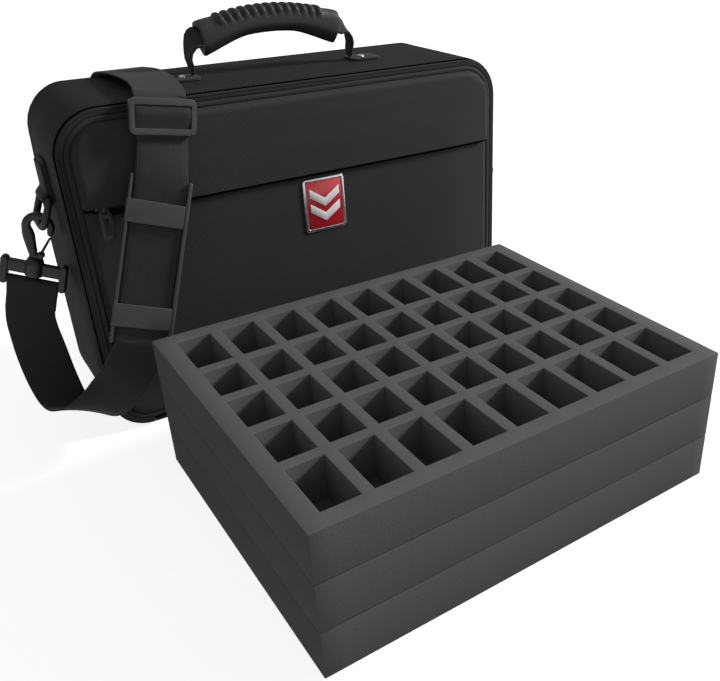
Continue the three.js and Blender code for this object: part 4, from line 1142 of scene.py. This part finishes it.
def make_tray(number):
    """A block of foam: a sheet cut across both ways, with its cells sunk into it."""
    xs, ys = tray_lines()
    base = (number - 1) * TRAY_H
    top = base + TRAY_H - 0.3
    deselect()
    bpy.ops.mesh.primitive_plane_add(
        size=1.0, location=((TRAY_X0 + TRAY_L / 2) * MM, (TRAY_Y0 + TRAY_D / 2) * MM, top * MM))
    tray = bpy.context.object
    tray.name = f"tray_{number}_foam"
    tray.scale = (TRAY_L * MM, TRAY_D * MM, 1.0)
    bpy.ops.object.transform_apply(location=True, rotation=False, scale=True)
    bpy.ops.object.mode_set(mode="EDIT")
    for normal, marks in (((1, 0, 0), xs), ((0, 1, 0), ys)):
        for mark in (m for pair in marks for m in pair):
            bpy.ops.mesh.select_all(action="SELECT")
            bpy.ops.mesh.bisect(plane_co=Vector(normal) * mark * MM, plane_no=normal)
    sheet = bmesh.from_edit_mesh(tray.data)
    bpy.ops.mesh.select_mode(type="FACE")
    bpy.ops.mesh.select_all(action="DESELECT")
    for face in sheet.faces:
        c = face.calc_center_median() / MM
        face.select_set(any(a < c.x < b for a, b in xs) and any(a < c.y < b for a, b in ys))
    bmesh.update_edit_mesh(tray.data)
    bpy.ops.mesh.extrude_region_move(
        TRANSFORM_OT_translate={"value": (0, 0, -CELL_DEPTH * MM)})
    bpy.ops.mesh.select_mode(type="EDGE")
    bpy.ops.mesh.select_all(action="DESELECT")
    bpy.ops.mesh.select_non_manifold()
    bpy.ops.mesh.extrude_edges_move(
        TRANSFORM_OT_translate={"value": (0, 0, -(top - base) * MM)})
    bpy.ops.mesh.edge_face_add()
    bpy.ops.mesh.select_all(action="SELECT")
    bpy.ops.mesh.normals_make_consistent(inside=False)
    bpy.ops.object.mode_set(mode="OBJECT")
    apply_modifier(tray, "BEVEL", width=0.7 * MM, segments=2, limit_method="ANGLE",
                   angle_limit=math.radians(40))
    settle(tray, foam, f"tray_{number}", [f"tray_{number}_base", f"tray_{number}_grid"])


# Stage: a pale floor, soft studio light and the camera
PHOTO_W, PHOTO_H = 720.0, 681.0
FOCAL_PX = 828.96
MIDDLE_PX = (474.90, 327.35)
CAMERA_AT = (-0.3117, -0.7414, 0.4281)
CAMERA_DOWN, CAMERA_LEFT = 27.797, 36.151
LAMP_AT, LAMP_AIM = Vector((4.3, -1.36, 2.7)), Vector((0, -0.15, 0.1))


def hung(name, data, at, turn):
    holder = bpy.data.objects.new(name, data)
    holder.location = at
    holder.rotation_euler = turn
    bpy.context.scene.collection.objects.link(holder)
    return holder


def make_stage():
    floor_finish = Finish("studio floor", "cloth", 1.0)
    tree = floor_finish.tree
    path = floor_finish.node("ShaderNodeLightPath")
    rays = path.socket.node.outputs
    camera_ray, mirror_ray, glass_ray = [Wire(floor_finish, rays[f"Is {kind} Ray"])
                                         for kind in ("Camera", "Glossy", "Transmission")]
    seen = camera_ray.math("MAXIMUM", mirror_ray).math("MAXIMUM", glass_ray)
    lit = floor_finish.node("ShaderNodeBsdfDiffuse", None, {"Color": (0.42, 0.42, 0.42, 1.0)})
    paper = floor_finish.node("ShaderNodeBsdfDiffuse", None, {"Color": (0.34, 0.34, 0.34, 1.0)})
    glow = floor_finish.node("ShaderNodeEmission", None,
                             {"Color": (1.0, 1.0, 1.0, 1.0), "Strength": 0.84})
    both = floor_finish.node("ShaderNodeAddShader", None, [paper, glow])
    blend = floor_finish.node("ShaderNodeMixShader", None, [seen, lit, both])
    tree.links.new(blend.socket, tree.nodes["Material Output"].inputs["Surface"])
    deselect()
    bpy.ops.mesh.primitive_plane_add(size=14.0, location=(0, 0, -0.0006))
    floor = bpy.context.object
    floor.name = "studio_floor"
    floor.data.materials.append(floor_finish.material)

    world = bpy.data.worlds.new("studio")
    world.use_nodes = True
    bpy.context.scene.world = world
    nodes, links = world.node_tree.nodes, world.node_tree.links
    soft, white = nodes["Background"], nodes.new("ShaderNodeBackground")
    for light, strength in ((soft, 0.40), (white, 1.0)):
        light.inputs["Color"].default_value = (1.0, 1.0, 1.0, 1.0)
        light.inputs["Strength"].default_value = strength
    ray = nodes.new("ShaderNodeLightPath")
    mix = nodes.new("ShaderNodeMixShader")
    links.new(ray.outputs["Is Camera Ray"], mix.inputs[0])
    links.new(soft.outputs[0], mix.inputs[1])
    links.new(white.outputs[0], mix.inputs[2])
    links.new(mix.outputs[0], nodes["World Output"].inputs["Surface"])

    lamp = bpy.data.lights.new("key", "AREA")
    lamp.shape = "DISK"
    lamp.size = 1.0
    lamp.energy = 320.0
    hung("key", lamp, LAMP_AT, (LAMP_AIM - LAMP_AT).to_track_quat("-Z", "Y").to_euler())

    camera = bpy.data.cameras.new("camera")
    camera.sensor_fit = "HORIZONTAL"
    camera.sensor_width = 36.0
    camera.lens = FOCAL_PX / PHOTO_W * camera.sensor_width
    camera.shift_x = -(MIDDLE_PX[0] - PHOTO_W / 2) / PHOTO_W
    camera.shift_y = (MIDDLE_PX[1] - PHOTO_H / 2) / PHOTO_W
    bpy.context.scene.camera = hung("camera", camera, CAMERA_AT, (
        math.radians(90 - CAMERA_DOWN), 0, math.radians(-CAMERA_LEFT)))
    bpy.context.scene.view_settings.view_transform = "Standard"


make_shell()
make_zip()
make_door()
make_handle()
make_strap()
make_hardware()
for tray_number in (1, 2, 3):
    make_tray(tray_number)
make_stage()
